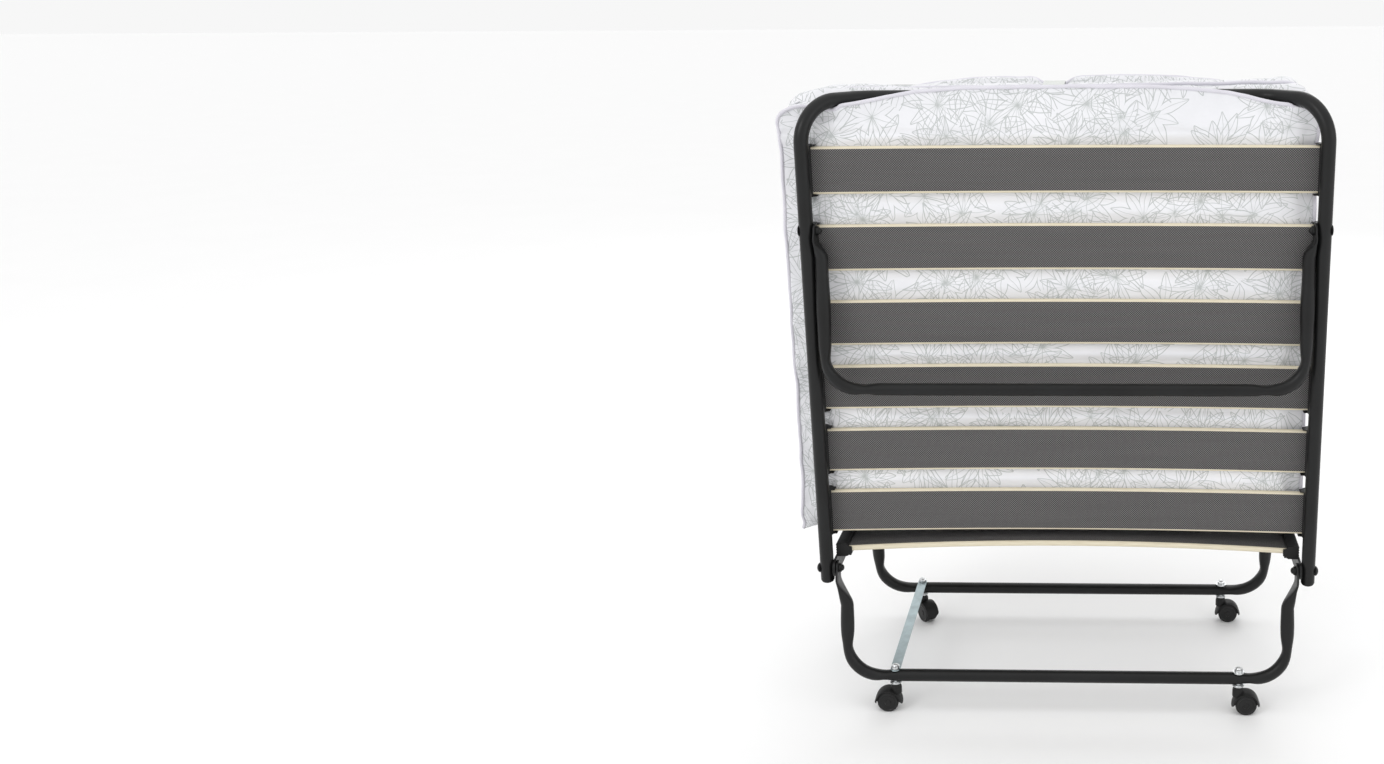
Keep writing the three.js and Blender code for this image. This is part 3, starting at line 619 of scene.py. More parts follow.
def leg_section(point, leg):
    """Ring of a leg's tube: round, pressed flat at the neck, and a rounded tab at the pivot."""
    depth = -point.z
    flat = 1 - blend_share(depth, leg["neck_top"], leg["neck_bottom"])
    thickness = LEG_RADIUS + (TAB_THICKNESS / 2 - LEG_RADIUS) * flat
    width = LEG_RADIUS + (SHOULDER_WIDTH / 2 - LEG_RADIUS) * flat
    if depth < SHOULDER:
        shoulder = blend_share(depth, 0.0, SHOULDER)
        width = TAB_RADIUS + (SHOULDER_WIDTH / 2 - TAB_RADIUS) * shoulder
    if depth < 0:
        width = math.sqrt(max(TAB_RADIUS ** 2 - depth ** 2, 1e-7))
    corner_x = leg["tube_x"] - leg["bend"]
    bend_top = leg["drop"] - leg["bend"]
    SWELLING = 0.0012
    PINCH = 0.0024
    CRIMP = 0.0022
    middle = (leg["neck_bottom"] + bend_top) / 2
    thickness += SWELLING * math.exp(-((depth - middle) / 0.030) ** 2)
    pinched = math.exp(-((depth - bend_top - 0.006) / 0.016) ** 2) if abs(point.x) > corner_x else 0.0
    dent = math.exp(-((abs(point.x) - corner_x + 0.010) / 0.013) ** 2) if depth > bend_top else 0.0
    thickness -= PINCH * pinched + CRIMP * dent
    width += 0.4 * (PINCH * pinched + CRIMP * dent)
    return ring_of(thickness, width, 28, 2.0 + 2.2 * flat)


def leg_piece(name, leg, space):
    path = leg_points(leg)
    rings = [leg_section(point, leg) for point in path]
    piece = sweep(name, path, lambda i: rings[i], "steel", space=space)
    return crease_sharply(piece, 50)


def legs(end):
    at_pivot = half_space(end) @ Matrix.Translation((0, 0, END_LEG_PIVOT))
    folded = at_pivot @ Matrix.Rotation(END_LEG_REST, 4, "X")
    fold_down = leg_piece(f"{end}_fold_down_leg", END_LEG, folded)
    finish_piece(fold_down, f"{end}_end_leg", "black_steel", f"{end}_end_leg")
    splayed = Matrix.Translation(FOLD[end]) @ Matrix.Rotation(WAY[end] * CENTRE_LEG_SPLAY, 4, "X")
    fixed = leg_piece(f"{end}_wheeled_leg", CENTRE_LEG, splayed)
    finish_piece(fixed, "centre_section", "black_steel", f"{end}_centre_leg")


# ---------------------------------------------------------------- slats and caps


def slat_piece(name, node, space):
    """Bowed plywood slat with laminate faces and rounded, bare long edges."""
    CORNER = 0.0036
    ARC = 5
    half_height = SLAT_WIDTH / 2
    half_depth = SLAT_THICKNESS / 2
    outline = []
    marks = []
    for quarter, (sx, sy) in enumerate(((1, 1), (-1, 1), (-1, -1), (1, -1))):
        for k in range(ARC + 1):
            turn = RIGHT_ANGLE * (quarter + k / ARC)
            outline.append((sx * (half_depth - CORNER) + CORNER * math.cos(turn),
                            sy * (half_height - CORNER) + CORNER * math.sin(turn)))
            bare = k < ARC or quarter in (0, 2)
            marks.append(1 if bare else 0)
    low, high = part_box(node)
    half_length = (high.x - low.x) / 2
    STEPS = 44
    path = []
    for k in range(STEPS + 1):
        x = half_length * (1 - 2 * k / STEPS)
        sag = SLAT_BOW * (1 - (x / half_length) ** 2)
        path.append(Vector((x, SLAT_FACE - half_depth - sag, 0)))
    piece = sweep(name, path, lambda i: outline, ["laminate", "ply"], up=(0, 0, 1), marks=marks, space=space)
    return crease_sharply(piece, 40)


def cap_parts(space):
    """Moulded cap at the +X end of a slat, its ribs running along Z."""
    front = CAP_BACK - CAP_DEPTH
    outer = FRAME_WIDTH / 2 - 0.001
    pocket_end = MOUTH_X + POCKET_DEPTH
    face = SLAT_FACE + GAP
    back_face = SLAT_FACE - SLAT_THICKNESS - 2 * GAP
    RIBS = 5
    RIB_DEPTH = 0.0011
    pitch = CAP_DEPTH / RIBS
    ribs = []
    for k in range(RIBS):
        y = front + pitch * k
        ribs += [(outer - RIB_DEPTH, y + pitch * 0.08), (outer, y + pitch * 0.30),
                 (outer, y + pitch * 0.70), (outer - RIB_DEPTH, y + pitch * 0.92)]
    corner = 0.003
    edge = [(MOUTH_X + corner, front), (outer - corner, front)] + ribs
    back = [(outer - corner, CAP_BACK), (MOUTH_X + corner, CAP_BACK), (MOUTH_X, CAP_BACK - 0.0015)]
    pocket = [(MOUTH_X, face), (pocket_end, face), (pocket_end, back_face), (MOUTH_X, back_face)]
    sleeve = edge + back + pocket + [(MOUTH_X, front + 0.0015)]
    plate = edge + back + [(MOUTH_X, front + 0.0015)]
    low = SLAT_WIDTH / 2 + GAP
    high = CAP_HEIGHT / 2
    lip_y = SLAT_FACE - SLAT_THICKNESS / 2
    lip = [(MOUTH_X - 0.006, lip_y - 0.006), (MOUTH_X + 0.004, lip_y - 0.008),
           (MOUTH_X + 0.004, lip_y + 0.008), (MOUTH_X - 0.006, lip_y + 0.006)]
    LIP_THICKNESS = 0.0016
    return [
        prism([sleeve], -low, low, space),
        prism([plate], low - 0.0002, high, space),
        prism([plate], -high, 0.0002 - low, space),
        prism([lip], high - LIP_THICKNESS, high - 0.0003, space),
        prism([lip], 0.0003 - high, LIP_THICKNESS - high, space),
    ]


def slat_row(spaces, nodes, body, cap_nodes, mouth=MOUTH_X):
    """Slats with a cap at each end. `cap_nodes` gives the node of the caps on the +X and the -X side."""
    inward = Matrix.Translation((mouth - MOUTH_X, 0, 0))
    for space, node in zip(spaces, nodes):
        finish_piece(slat_piece(f"{node}_board", node, space), body, "slat_laminate", node)
        for way, cap_node in cap_nodes.items():
            there = space if way > 0 else space @ Matrix.Rotation(math.pi, 4, "Y")
            side = cap_node.rsplit("_", 1)[1]
            cap = joined(f"{node}_cap_{side}", cap_parts(there @ inward), "plastic")
            bevelled(cap, 0.0005)
            finish_piece(cap, body, "black_plastic", cap_node)


def half_slats(end):
    space = half_space(end)
    nodes = [n for n in sorted(frame["nodes"]) if n.startswith(f"{end}_slat_") and "caps" not in n]
    spaces = [space @ Matrix.Translation((0, 0, (space.inverted() @ node_middle(n)).z)) for n in nodes]
    flip = 1 if end == "rear" else -1
    caps = {flip: f"{end}_slat_caps_right", -flip: f"{end}_slat_caps_left"}
    slat_row(spaces, nodes, f"{end}_half", caps)


def centre_slats():
    """The three slats that lie between the fold pivots, bowed upwards."""
    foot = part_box("centre_slat_caps_right")[0]
    lying = Matrix.Rotation(-RIGHT_ANGLE, 4, "X")
    spaces = [Matrix.Translation((MIDDLE_X, node_middle(node).y, foot.z + CAP_BACK)) @ lying
              for node in CENTRE_SLATS]
    caps = {1: "centre_slat_caps_right", -1: "centre_slat_caps_left"}
    slat_row(spaces, CENTRE_SLATS, "centre_section", caps, foot.x - MIDDLE_X)


def rails():
    for side in SIDES:
        rail = frame["nodes"][f"side_rail_{side}"]
        rail.data.materials.clear()
        rail.data.materials.append(MATERIALS["steel"])
        bevelled(rail, 0.0008, 3)


# ---------------------------------------------------------------- fasteners and strut


def cross_bolt(name, node, body, head_depth):
    """Domed bolt head outside and an acorn nut inside, on a washer each."""
    low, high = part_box(node)
    middle = (low + high) / 2
    outwards = 1 if middle.x > MIDDLE_X else -1
    HEAD = 0.008
    NUT = 0.007
    NUT_DEPTH = 0.008
    head_face = high.x - low.x - 0.005
    length = head_face + head_depth
    nut_face = NUT_DEPTH
    shaft = 0.004
    profile = [(0, 0), (NUT * 0.3, 0.0002), (NUT * 0.58, 0.0012), (NUT * 0.74, 0.003), (NUT * 0.78, 0.0042),
               (NUT, 0.0046), (NUT, nut_face - 0.0006), (NUT * 1.16, nut_face - 0.0005),
               (NUT * 1.16, nut_face), (shaft, nut_face), (shaft, head_face), (HEAD, head_face)]
    profile += [(HEAD * math.cos(t), head_face + head_depth * math.sin(t) ** 1.2)
                for t in np.linspace(0.15, RIGHT_ANGLE * 0.9, 6)]
    profile.append((0, length))
    inner_end = low.x if outwards > 0 else high.x
    foot = Matrix.Translation((inner_end, middle.y, middle.z))
    space = foot @ Matrix.Rotation(outwards * RIGHT_ANGLE, 4, "Y")
    finish_piece(lathe(name, profile, "steel", space), body, "black_steel", node)


def stem_bolt(end, side):
    """Caster stem through the bar, with a washer below and a bright acorn nut on top."""
    node = f"caster_stem_{end}_{side}"
    low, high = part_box(node)
    middle = (low + high) / 2
    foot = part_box(f"caster_housing_{end}_{side}")[1].z
    bar_bottom = foot + 0.003
    bar_top = bar_bottom + 2 * LEG_RADIUS + 2 * GAP
    nut_foot = bar_top + 0.0022
    NUT = 0.0068
    WASHER = 0.0095
    SHAFT = 0.004
    profile = [(0, low.z), (SHAFT, low.z), (SHAFT, foot + GAP), (WASHER, foot + GAP), (WASHER, foot + 0.0015),
               (0.0075, foot + 0.0016), (0.0075, bar_bottom - 0.0002), (SHAFT, bar_bottom - 0.0002),
               (SHAFT, bar_top + (0.0001 if side == "right" else 0.0018))]
    if side == "right":
        profile += [(WASHER, bar_top + 0.0001), (WASHER, nut_foot - 0.0004), (NUT, nut_foot - 0.0003)]
    else:
        profile += [(SHAFT, nut_foot + 0.0002), (NUT, nut_foot + 0.0002)]
    profile += [(NUT, nut_foot + 0.0042), (NUT * 0.76, nut_foot + 0.0046), (NUT * 0.62, nut_foot + 0.0062),
                (NUT * 0.3, nut_foot + 0.0074), (0, high.z)]
    space = Matrix.Translation((middle.x, middle.y, 0))
    piece = lathe(f"{end}_stem_nut_{side}", profile, "bright", space, 24)
    finish_piece(piece, "centre_section", "zinc", node)


def strut():
    plate = frame["nodes"]["tie_strut"]
    plate.data.materials.clear()
    plate.data.materials.append(MATERIALS["zinc"])
    bevelled(plate, 0.0005, 2)


def rivets(end):
    """Small bright rivets that hold the slat caps, seen on the inner side of the tubes."""
    space = half_space(end)
    RADIUS = 0.0017
    head = [(0, -0.001), (RADIUS, -0.001), (RADIUS, 0.0002), (RADIUS * 0.7, 0.0008), (0, 0.001)]
    nodes = [n for n in sorted(frame["nodes"]) if n.startswith(f"{end}_slat_") and "caps" not in n]
    parts = []
    for node in nodes:
        z = (space.inverted() @ node_middle(node)).z
        for way in (-1, 1):
            for off in (-0.024, 0.024):
                place = Matrix.Translation((way * (MOUTH_X + 0.0015), CAP_BACK - 0.0045, z + off))
                turned = place @ Matrix.Rotation(-way * RIGHT_ANGLE, 4, "Y")
                parts.append((head, space @ turned))
    pieces = [lathe(f"{end}_cap_rivet_{i + 1}", profile, "bright", there, 12)
              for i, (profile, there) in enumerate(parts)]
    for piece in pieces:
        finish_piece(piece, f"{end}_half", "zinc")


# ---------------------------------------------------------------- casters


def caster_space(end, side):
    """Stem at the origin on the floor, with the wheels towards +X."""
    stem = node_middle(f"caster_stem_{end}_{side}")
    wheels = node_middle(f"caster_wheels_{end}_{side}")
    heading = math.atan2(wheels.y - stem.y, wheels.x - stem.x)
    return Matrix.Translation((stem.x, stem.y, wheels.z - WHEEL_RADIUS)) @ Matrix.Rotation(heading, 4, "Z")


def twin_wheels(end, side, space):
    """Two discs with rounded treads and dished hub faces, on one axle."""
    inner = HOOD_WEB / 2 + GAP
    outer = inner + WHEEL_WIDTH
    r = WHEEL_RADIUS
    half = [(r - 0.0012, inner), (r - 0.0002, inner + 0.0012), (r, inner + 0.0028), (r, outer - 0.0030),
            (r - 0.0004, outer - 0.0015), (r - 0.0016, outer - 0.0004), (r - 0.0034, outer),
            (r - 0.0046, outer - 0.0009), (0.0052, outer - 0.0007), (0.0046, outer + 0.0002),
            (0.0030, outer + 0.0003)]
    axle = 0.0025
    profile = [(0, -outer - 0.0003)] + [(a, -b) for a, b in half[::-1]]
    profile += [(axle, -inner), (axle, inner)] + half + [(0, outer + 0.0003)]
    there = space @ Matrix.Translation((CASTER_TRAIL, 0, r)) @ Matrix.Rotation(-RIGHT_ANGLE, 4, "X")
    piece = lathe(f"{end}_twin_wheels_{side}", profile, "wheel", there, 48)
    body = f"caster_wheels_{end}_{side}"
    finish_piece(piece, body, "black_plastic", body)


def hood_shell(space):
    """Arched cover over the wheels, with pointed skirts that flare a little at axle height."""
    STEPS = 40
    WALL = 0.0022
    start = math.radians(-14)
    sweep_angle = math.pi - 2 * start
    across = 9
    vertices = []
    for k in range(STEPS + 1):
        turn = start + sweep_angle * k / STEPS
        end_share = min(k, STEPS - k) / STEPS
        flare = 0.0022 * (1 - blend_share(end_share, 0.0, 0.14))
        narrow = 0.35 + 0.65 * blend_share(end_share, -0.02, 0.10)
        for layer in (0, 1):
            for m in range(across):
                u = 2 * m / (across - 1) - 1
                crown = 0.0016 * abs(u) ** 3
                radius = HOOD_RADIUS - layer * WALL + flare - crown
                y = u * narrow * (HOOD_WIDTH / 2 - layer * 0.0004)
                vertices.append(space @ Vector((CASTER_TRAIL + radius * math.cos(turn), y,
                                                WHEEL_RADIUS + radius * math.sin(turn))))
    faces = []
    ring = 2 * across
    for k in range(STEPS):
        a, b = k * ring, (k + 1) * ring
        for m in range(across - 1):
            faces.append((a + m, b + m, b + m + 1, a + m + 1))
            faces.append((a + across + m + 1, b + across + m + 1, b + across + m, a + across + m))
        faces.append((a, a + across, b + across, b))
        faces.append((a + across - 1, b + across - 1, b + 2 * across - 1, a + 2 * across - 1))
    last = STEPS * ring
    for m in range(across - 1):
        faces.append((m, m + 1, across + m + 1, across + m))
        faces.append((last + m + 1, last + m, last + across + m, last + across + m + 1))
    return vertices, faces


def hood_web(space):
    """Wall between the two wheels, from the axle boss up to the hood."""
    points = []
    for k in range(25):
        turn = math.radians(-10) + math.radians(200) * k / 24
        points.append(((HOOD_RADIUS - 0.001) * math.cos(turn), (HOOD_RADIUS - 0.001) * math.sin(turn)))
    points += [(-0.006, -0.004), (0, -0.007), (0.006, -0.004)]
    axle = space @ Matrix.Translation((CASTER_TRAIL, 0, WHEEL_RADIUS))
    upright = axle @ Matrix.Rotation(RIGHT_ANGLE, 4, "X")
    return prism([points], -HOOD_WEB / 2, HOOD_WEB / 2, upright)


def caster(end, side):
    space = caster_space(end, side)
    twin_wheels(end, side, space)
    name = f"caster_housing_{end}_{side}"
    body = f"caster_swivel_{end}_{side}"
    cover = joined(f"{end}_caster_hood_{side}", [hood_shell(space), hood_web(space)], "plastic")
    crease_sharply(bevelled(cover, 0.0004, 2, 50))
    finish_piece(cover, body, "black_plastic", name)
    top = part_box(name)[1].z
    foot = WHEEL_RADIUS + HOOD_RADIUS - 0.008
    neck = [(0, foot), (0.0092, foot), (0.0092, top - 0.008), (0.0088, top - 0.0055), (0.0078, top - 0.004),
            (0.0078, top - 0.0006), (0.0072, top), (0.0045, top), (0.0045, top - 0.004), (0, top - 0.004)]
    collar = lathe(f"{end}_caster_collar_{side}", neck, "plastic", space)
    finish_piece(collar, body, "black_plastic")


# ---------------------------------------------------------------- mattress

STRAP_LOW, STRAP_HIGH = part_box("closing_strap")
STRAP_X = (STRAP_LOW.x + STRAP_HIGH.x) / 2
STRAP_HALF = (STRAP_HIGH.x - STRAP_LOW.x) / 2
STRAP_UNDERSIDE = HALF_LENGTH + FRAME_RADIUS - 0.0015  # above the fold pivot
MATTRESS_LOW, MATTRESS_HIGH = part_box("front_mattress")
MATTRESS_LEFT = MATTRESS_LOW.x
MATTRESS_RIGHT = MATTRESS_HIGH.x
MATTRESS_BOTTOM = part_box("centre_mattress")[0].z
MATTRESS_TOP = 0.992  # a little above the CAD solid, which is kept low for the strap's motion
FACE = 0.034  # side tube centre to the outer face
SWELL = 0.007  # how far the filling pushes the cover out
OUTER_CORNER = 0.052
RIM_CORNER = 0.012
PLAN_CORNER = 0.036  # rounding of the upper corners, seen from the front
CREASE_Z = MATTRESS_BOTTOM + 0.062  # bottom of the gap between the halves
FACE_SEAM_Z = 0.937
ZIP_SEAM_Z = {"front": 0.9035, "rear": 0.8770}  # cross seams where the zip tapes stop


def fold_gap(z):
    """Half of the gap between the two standing parts."""
    lower = 0.0185 * (1 - blend_share(z, CREASE_Z, 0.57))
    upper = 0.017 * blend_share(z, 0.88, MATTRESS_TOP)
    return 0.0028 + lower + upper


def outer_face(z):
    """Distance of the outer face from the middle plane of the bed."""
    return FOLD_HALF + (z - FOLD_Z) * math.tan(LEAN) - FACE


def mattress_outline(inset):
    """Right half of the folded mattress seen from its end, as (distance from the middle plane, z)."""
    low = MATTRESS_BOTTOM + inset
    high = MATTRESS_TOP - inset
    points = [(0.0, low)]
    corner = OUTER_CORNER - inset
    centre = (outer_face(low) - inset - corner, low + corner)
    points += [(centre[0] + corner * math.sin(t), centre[1] - corner * math.cos(t))
               for t in np.linspace(0, RIGHT_ANGLE, 9)]
    points += [(outer_face(z) - inset, z) for z in np.linspace(low + corner, high - RIM_CORNER, 12)[1:]]
    rim = outer_face(high) - inset - RIM_CORNER
    points += [(rim + RIM_CORNER * math.cos(t), high - RIM_CORNER + RIM_CORNER * math.sin(t))
               for t in np.linspace(0, RIGHT_ANGLE, 5)[1:]]
    inner_z = np.linspace(high - RIM_CORNER, CREASE_Z + inset + 0.012, 30)
    inner = [(fold_gap(z) + inset, z) for z in inner_z]
    points.append((inner[0][0] + RIM_CORNER * 0.8, high))
    points += inner
    points.append((inner[-1][0] * 0.6, CREASE_Z + inset + 0.003))
    points.append((0.0, CREASE_Z + inset))
    return points


def rounded_plan(points):
    """Rounds the upper corners, seen from the front, of points given as (x, y, z) rows."""
    r = PLAN_CORNER
    for edge, way in ((MATTRESS_RIGHT, 1), (MATTRESS_LEFT, -1)):
        a = way * (points[:, 0] - (edge - way * r)) / r
        b = (points[:, 2] - (MATTRESS_TOP - r)) / r
        inside = (a > 0) & (b > 0)
        longest = np.maximum(a, b)
        shrink = np.where(inside, longest / np.maximum(np.hypot(a, b), 1e-9), 1.0)
        points[:, 0] = np.where(inside, edge - way * r + way * a * shrink * r, points[:, 0])
        points[:, 2] = np.where(inside, MATTRESS_TOP - r + b * shrink * r, points[:, 2])
    return points


def vertex_rows(piece):
    rows = np.zeros(len(piece.data.vertices) * 3)
    piece.data.vertices.foreach_get("co", rows)
    return rows.reshape(-1, 3)


def set_vertex_rows(piece, rows):
    piece.data.vertices.foreach_set("co", rows.astype(np.float32).ravel())
    piece.data.update()


def apply_modifiers(piece):
    """Replaces the mesh with what its modifiers make of it."""
    bpy.context.view_layer.update()
    graph = bpy.context.evaluated_depsgraph_get()
    made = bpy.data.meshes.new_from_object(piece.evaluated_get(graph), depsgraph=graph)
    piece.modifiers.clear()
    piece.data = made
    return piece


def remesh(piece, voxel):
    modifier = piece.modifiers.new("Even quads", "REMESH")
    modifier.mode = "VOXEL"
    modifier.voxel_size = voxel
    return apply_modifiers(piece)


def inflate(piece, pressure, limit):
    """Lets the filling push the cover out as cloth, by no more than `limit`."""
    FRAMES = 20
    scene = bpy.context.scene
    before = vertex_rows(piece)
    modifier = piece.modifiers.new("Cover", "CLOTH")
    settings = modifier.settings
    settings.quality = 4
    settings.mass = 0.3
    settings.use_pressure = True
    settings.uniform_pressure_force = pressure
    settings.tension_stiffness = 18
    settings.compression_stiffness = 12
    settings.shear_stiffness = 6
    settings.bending_stiffness = 0.4
    settings.effector_weights.gravity = 0
    modifier.point_cache.frame_end = FRAMES
    for number in range(1, FRAMES + 1):
        scene.frame_set(number)
    apply_modifiers(piece)
    scene.frame_set(1)
    moved = vertex_rows(piece) - before
    length = np.linalg.norm(moved, axis=1, keepdims=True)
    set_vertex_rows(piece, before + moved * np.minimum(1, limit / np.maximum(length, 1e-9)))
    return piece


def to_half(rows, end):
    inverse = np.array(half_space(end).inverted())
    return rows @ inverse[:3, :3].T + inverse[:3, 3]


def from_half(rows, end):
    forward = np.array(half_space(end))
    return rows @ forward[:3, :3].T + forward[:3, 3]


def keep_off_frame(rows):
    """Presses the cover in where the slats, caps, end bars and strap lie against it."""
    side = np.where(rows[:, 1] > MIDDLE_Y, 1, -1)
    for end in ENDS:
        mine = side == WAY[end]
        local = to_half(rows[mine], end)
        x, y, z = local.T
        reach = MOUTH_X - 0.004
        bowed = SLAT_FACE - SLAT_THICKNESS - SLAT_BOW * np.clip(1 - (x / reach) ** 2, 0, 1) - 0.0012
        space = half_space(end)
        nodes = [n for n in frame["nodes"] if n.startswith(f"{end}_slat_") and "caps" not in n]
        between = np.full(len(z), 1.0)
        for node in nodes:
            middle = (space.inverted() @ node_middle(node)).z
            off_slat = np.abs(z - middle) - CAP_HEIGHT / 2 - 0.002
            between = np.minimum(between, np.clip(off_slat / 0.012, 0, 1))
        cap_face = CAP_BACK - CAP_DEPTH - 0.0012
        at_caps = np.abs(x) > reach
        held = np.where(at_caps, np.minimum(cap_face, bowed), bowed)
        free = held + 0.006
        y = np.minimum(y, held + (free - held) * between)
        path = np.array([p[:] for p in hoop_path()])
        path = path[np.abs(path[:, 1]) > 0.018]
        top = z > HALF_LENGTH - 0.09
        spots = np.stack([x, y], 1)[top]
        z = z.copy()
        if len(spots):
            apart = np.linalg.norm(spots[:, None, :] - path[None, :, :2], axis=2)
            nearest = apart.argmin(1)
            gap = apart.min(1)
            bar_z = path[nearest, 2]
            room = FRAME_RADIUS + 0.0014
            strap_x = (STRAP_X - MIDDLE_X) * (-1 if end == "front" else 1)
            room = room + 0.0026 * np.exp(-((spots[:, 0] - strap_x) / 0.024) ** 4)
            under = bar_z - np.sqrt(np.maximum(room ** 2 - gap ** 2, 0))
            beside = bar_z + (gap - room) * 1.1
            limit = np.where(gap < room, under, beside)
            off_strap = np.clip(np.abs(spots[:, 0] - strap_x) - STRAP_HALF - 0.002, 0, None)
            # The strap lies between the bars, so the front rim outside its bar is free of it
            beyond_strap = (spots[:, 1] > FRAME_RADIUS + 0.003 - HOOP_OVERHANG) & (end == "front")
            limit = np.where(beyond_strap, limit, np.minimum(limit, STRAP_UNDERSIDE + 0.9 * off_strap))
            z[top] = np.minimum(z[top], limit)
        rows[mine] = from_half(np.stack([x, y, z], 1), end)
    return rows


def keep_off_centre(rows):
    """Keeps the lying part above the centre slats and their caps."""
    slat_low, slat_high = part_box(CENTRE_SLATS[0])
    cap_low, cap_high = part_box("centre_slat_caps_right")
    x = rows[:, 0] - MIDDLE_X
    slat_top = slat_high.z - SLAT_BOW * (x / (slat_high.x - MIDDLE_X)) ** 2
    floor = np.where(np.abs(x) > cap_low.x - MIDDLE_X - 0.006, cap_high.z, slat_top) + 0.0012
    overhang = np.clip((np.abs(x) - (cap_high.x - MIDDLE_X) - 0.002) / 0.006, 0, 1)
    floor = floor - 0.008 * overhang
    near = np.abs(rows[:, 1] - MIDDLE_Y) < FOLD_HALF - FACE
    rows[:, 2] = np.where(near, np.maximum(rows[:, 2], floor), rows[:, 2])
    return rows


# Folds gathered at the inner corner, on each end of the mattress: from and to as shares of the way
# out (1 is the outer face) and up (1 is the bottom of the gap), with a depth
END_FOLDS = [
    ((0.22, 0.98), (0.92, 0.34), 0.0050, 0.0045),
    ((0.30, 0.90), (0.62, 0.80), 0.0040, 0.0035),
    ((-0.16, 0.96), (-0.60, 0.30), 0.0050, 0.0045),
    ((-0.28, 0.86), (-0.98, 0.62), 0.0035, 0.0040),
    ((0.04, 0.90), (0.02, 0.55), 0.0030, 0.0050),
    ((-0.34, 0.98), (-0.62, 0.90), 0.0030, 0.0030),
    ((0.12, 0.84), (0.34, 0.40), 0.0025, 0.0045),
]


def distance_to_line(u, v, start, end):
    along = np.array(end) - np.array(start)
    t = np.clip(((u - start[0]) * along[0] + (v - start[1]) * along[1]) / along.dot(along), 0, 1)
    return np.hypot(u - start[0] - t * along[0], v - start[1] - t * along[1]), t


def wrinkle_depths(rows, normals):
    """How far each point is pulled in by seams, puckers and gathered folds."""
    x, y, z = rows.T
    depth = np.zeros(len(rows))
    soft = np.array([noise.noise(Vector((px * 16, py * 16, pz * 24))) for px, py, pz in rows])
    fine = np.array([noise.noise(Vector((px * 60 + 7, py * 60, pz * 60))) for px, py, pz in rows])
    depth += 0.0016 * soft + 0.0006 * fine
    on_end = np.clip(np.abs(normals[:, 0]) * 1.6 - 0.5, 0, 1)
    on_face = np.clip(np.abs(normals[:, 1]) * 1.6 - 0.5, 0, 1)
    out = outer_face(CREASE_Z)
    u = (y - MIDDLE_Y) / out
    v = (z - MATTRESS_BOTTOM) / (CREASE_Z - MATTRESS_BOTTOM)
    for start, end, deep, wide in END_FOLDS:
        distance, t = distance_to_line(u * out, v * (CREASE_Z - MATTRESS_BOTTOM),
                                       (start[0] * out, start[1] * (CREASE_Z - MATTRESS_BOTTOM)),
                                       (end[0] * out, end[1] * (CREASE_Z - MATTRESS_BOTTOM)))
        depth += on_end * deep * np.exp(-(distance / wide) ** 2) * (1 - 0.55 * t)
        beside = np.exp(-((distance - 2.1 * wide) / (1.3 * wide)) ** 2)
        depth -= on_end * deep * 0.55 * beside * (1 - 0.55 * t)
    seam_z = np.where(y > MIDDLE_Y, ZIP_SEAM_Z["rear"], ZIP_SEAM_Z["front"])
    depth += on_end * 0.0016 * np.exp(-((z - seam_z) / 0.0022) ** 2)
    depth += on_face * 0.0026 * np.exp(-((z - FACE_SEAM_Z) / 0.0035) ** 2)
    below_rim = np.clip((MATTRESS_TOP - z) / 0.030, 0, 1)
    gathers = np.array([noise.noise(Vector((px * 55, 3.1, 0))) for px in x])
    depth += on_face * 0.0026 * gathers * (1 - below_rim) * (z > MATTRESS_TOP - 0.030)
    near_end = np.minimum(np.abs(x - MATTRESS_LEFT), np.abs(x - MATTRESS_RIGHT))
    side_gathers = np.array([noise.noise(Vector((9.7, pz * 48, 0))) for pz in z])
    depth += on_face * 0.0020 * side_gathers * np.exp(-(near_end / 0.018) ** 2)
    return depth


def vertex_normals(piece):
    rows = np.zeros(len(piece.data.vertices) * 3)
    piece.data.vertices.foreach_get("normal", rows)
    return rows.reshape(-1, 3)


def cloth_map(mesh):
    """UV in metres, taken straight on from the side that each face looks to."""
    layer = mesh.uv_layers.new(name="Cloth")
    normals = np.zeros(len(mesh.polygons) * 3)
    mesh.polygons.foreach_get("normal", normals)
    facing = np.abs(normals.reshape(-1, 3)).argmax(1)
    counts = np.zeros(len(mesh.polygons), int)
    mesh.polygons.foreach_get("loop_total", counts)
    facing = np.repeat(facing, counts)
    rows = np.zeros(len(mesh.vertices) * 3)
    mesh.vertices.foreach_get("co", rows)
    rows = rows.reshape(-1, 3)
    used = np.zeros(len(mesh.loops), int)
    mesh.loops.foreach_get("vertex_index", used)
    points = rows[used]
    axes = np.array([(1, 2), (0, 2), (0, 1)])[facing]
    offsets = np.array([(0.31, 0.07), (0.0, 0.0), (0.12, 0.53)])[facing]
    flat = np.take_along_axis(points, axes, 1) + offsets
    layer.data.foreach_set("uv", flat.astype(np.float32).ravel())


def stretched(rows, axis, low, high):
    """Scales one coordinate so that it runs from low to high."""
    lowest = rows[:, axis].min()
    share = (rows[:, axis] - lowest) / (rows[:, axis].max() - lowest)
    rows[:, axis] = low + (high - low) * share
    return rows


def cornered(behind, below, radius):
    """Squares a rounded corner. Takes and gives back how far points lie behind its two faces."""
    SQUARENESS = 0.8
    out = np.clip(radius - behind, 0, None)
    up = np.clip(radius - below, 0, None)
    stretch = np.hypot(out, up) / np.maximum(np.maximum(out, up), 1e-9)
    extra = np.where((out > 0) & (up > 0), SQUARENESS * (stretch - 1), 0)
    return behind - out * extra, below - up * extra


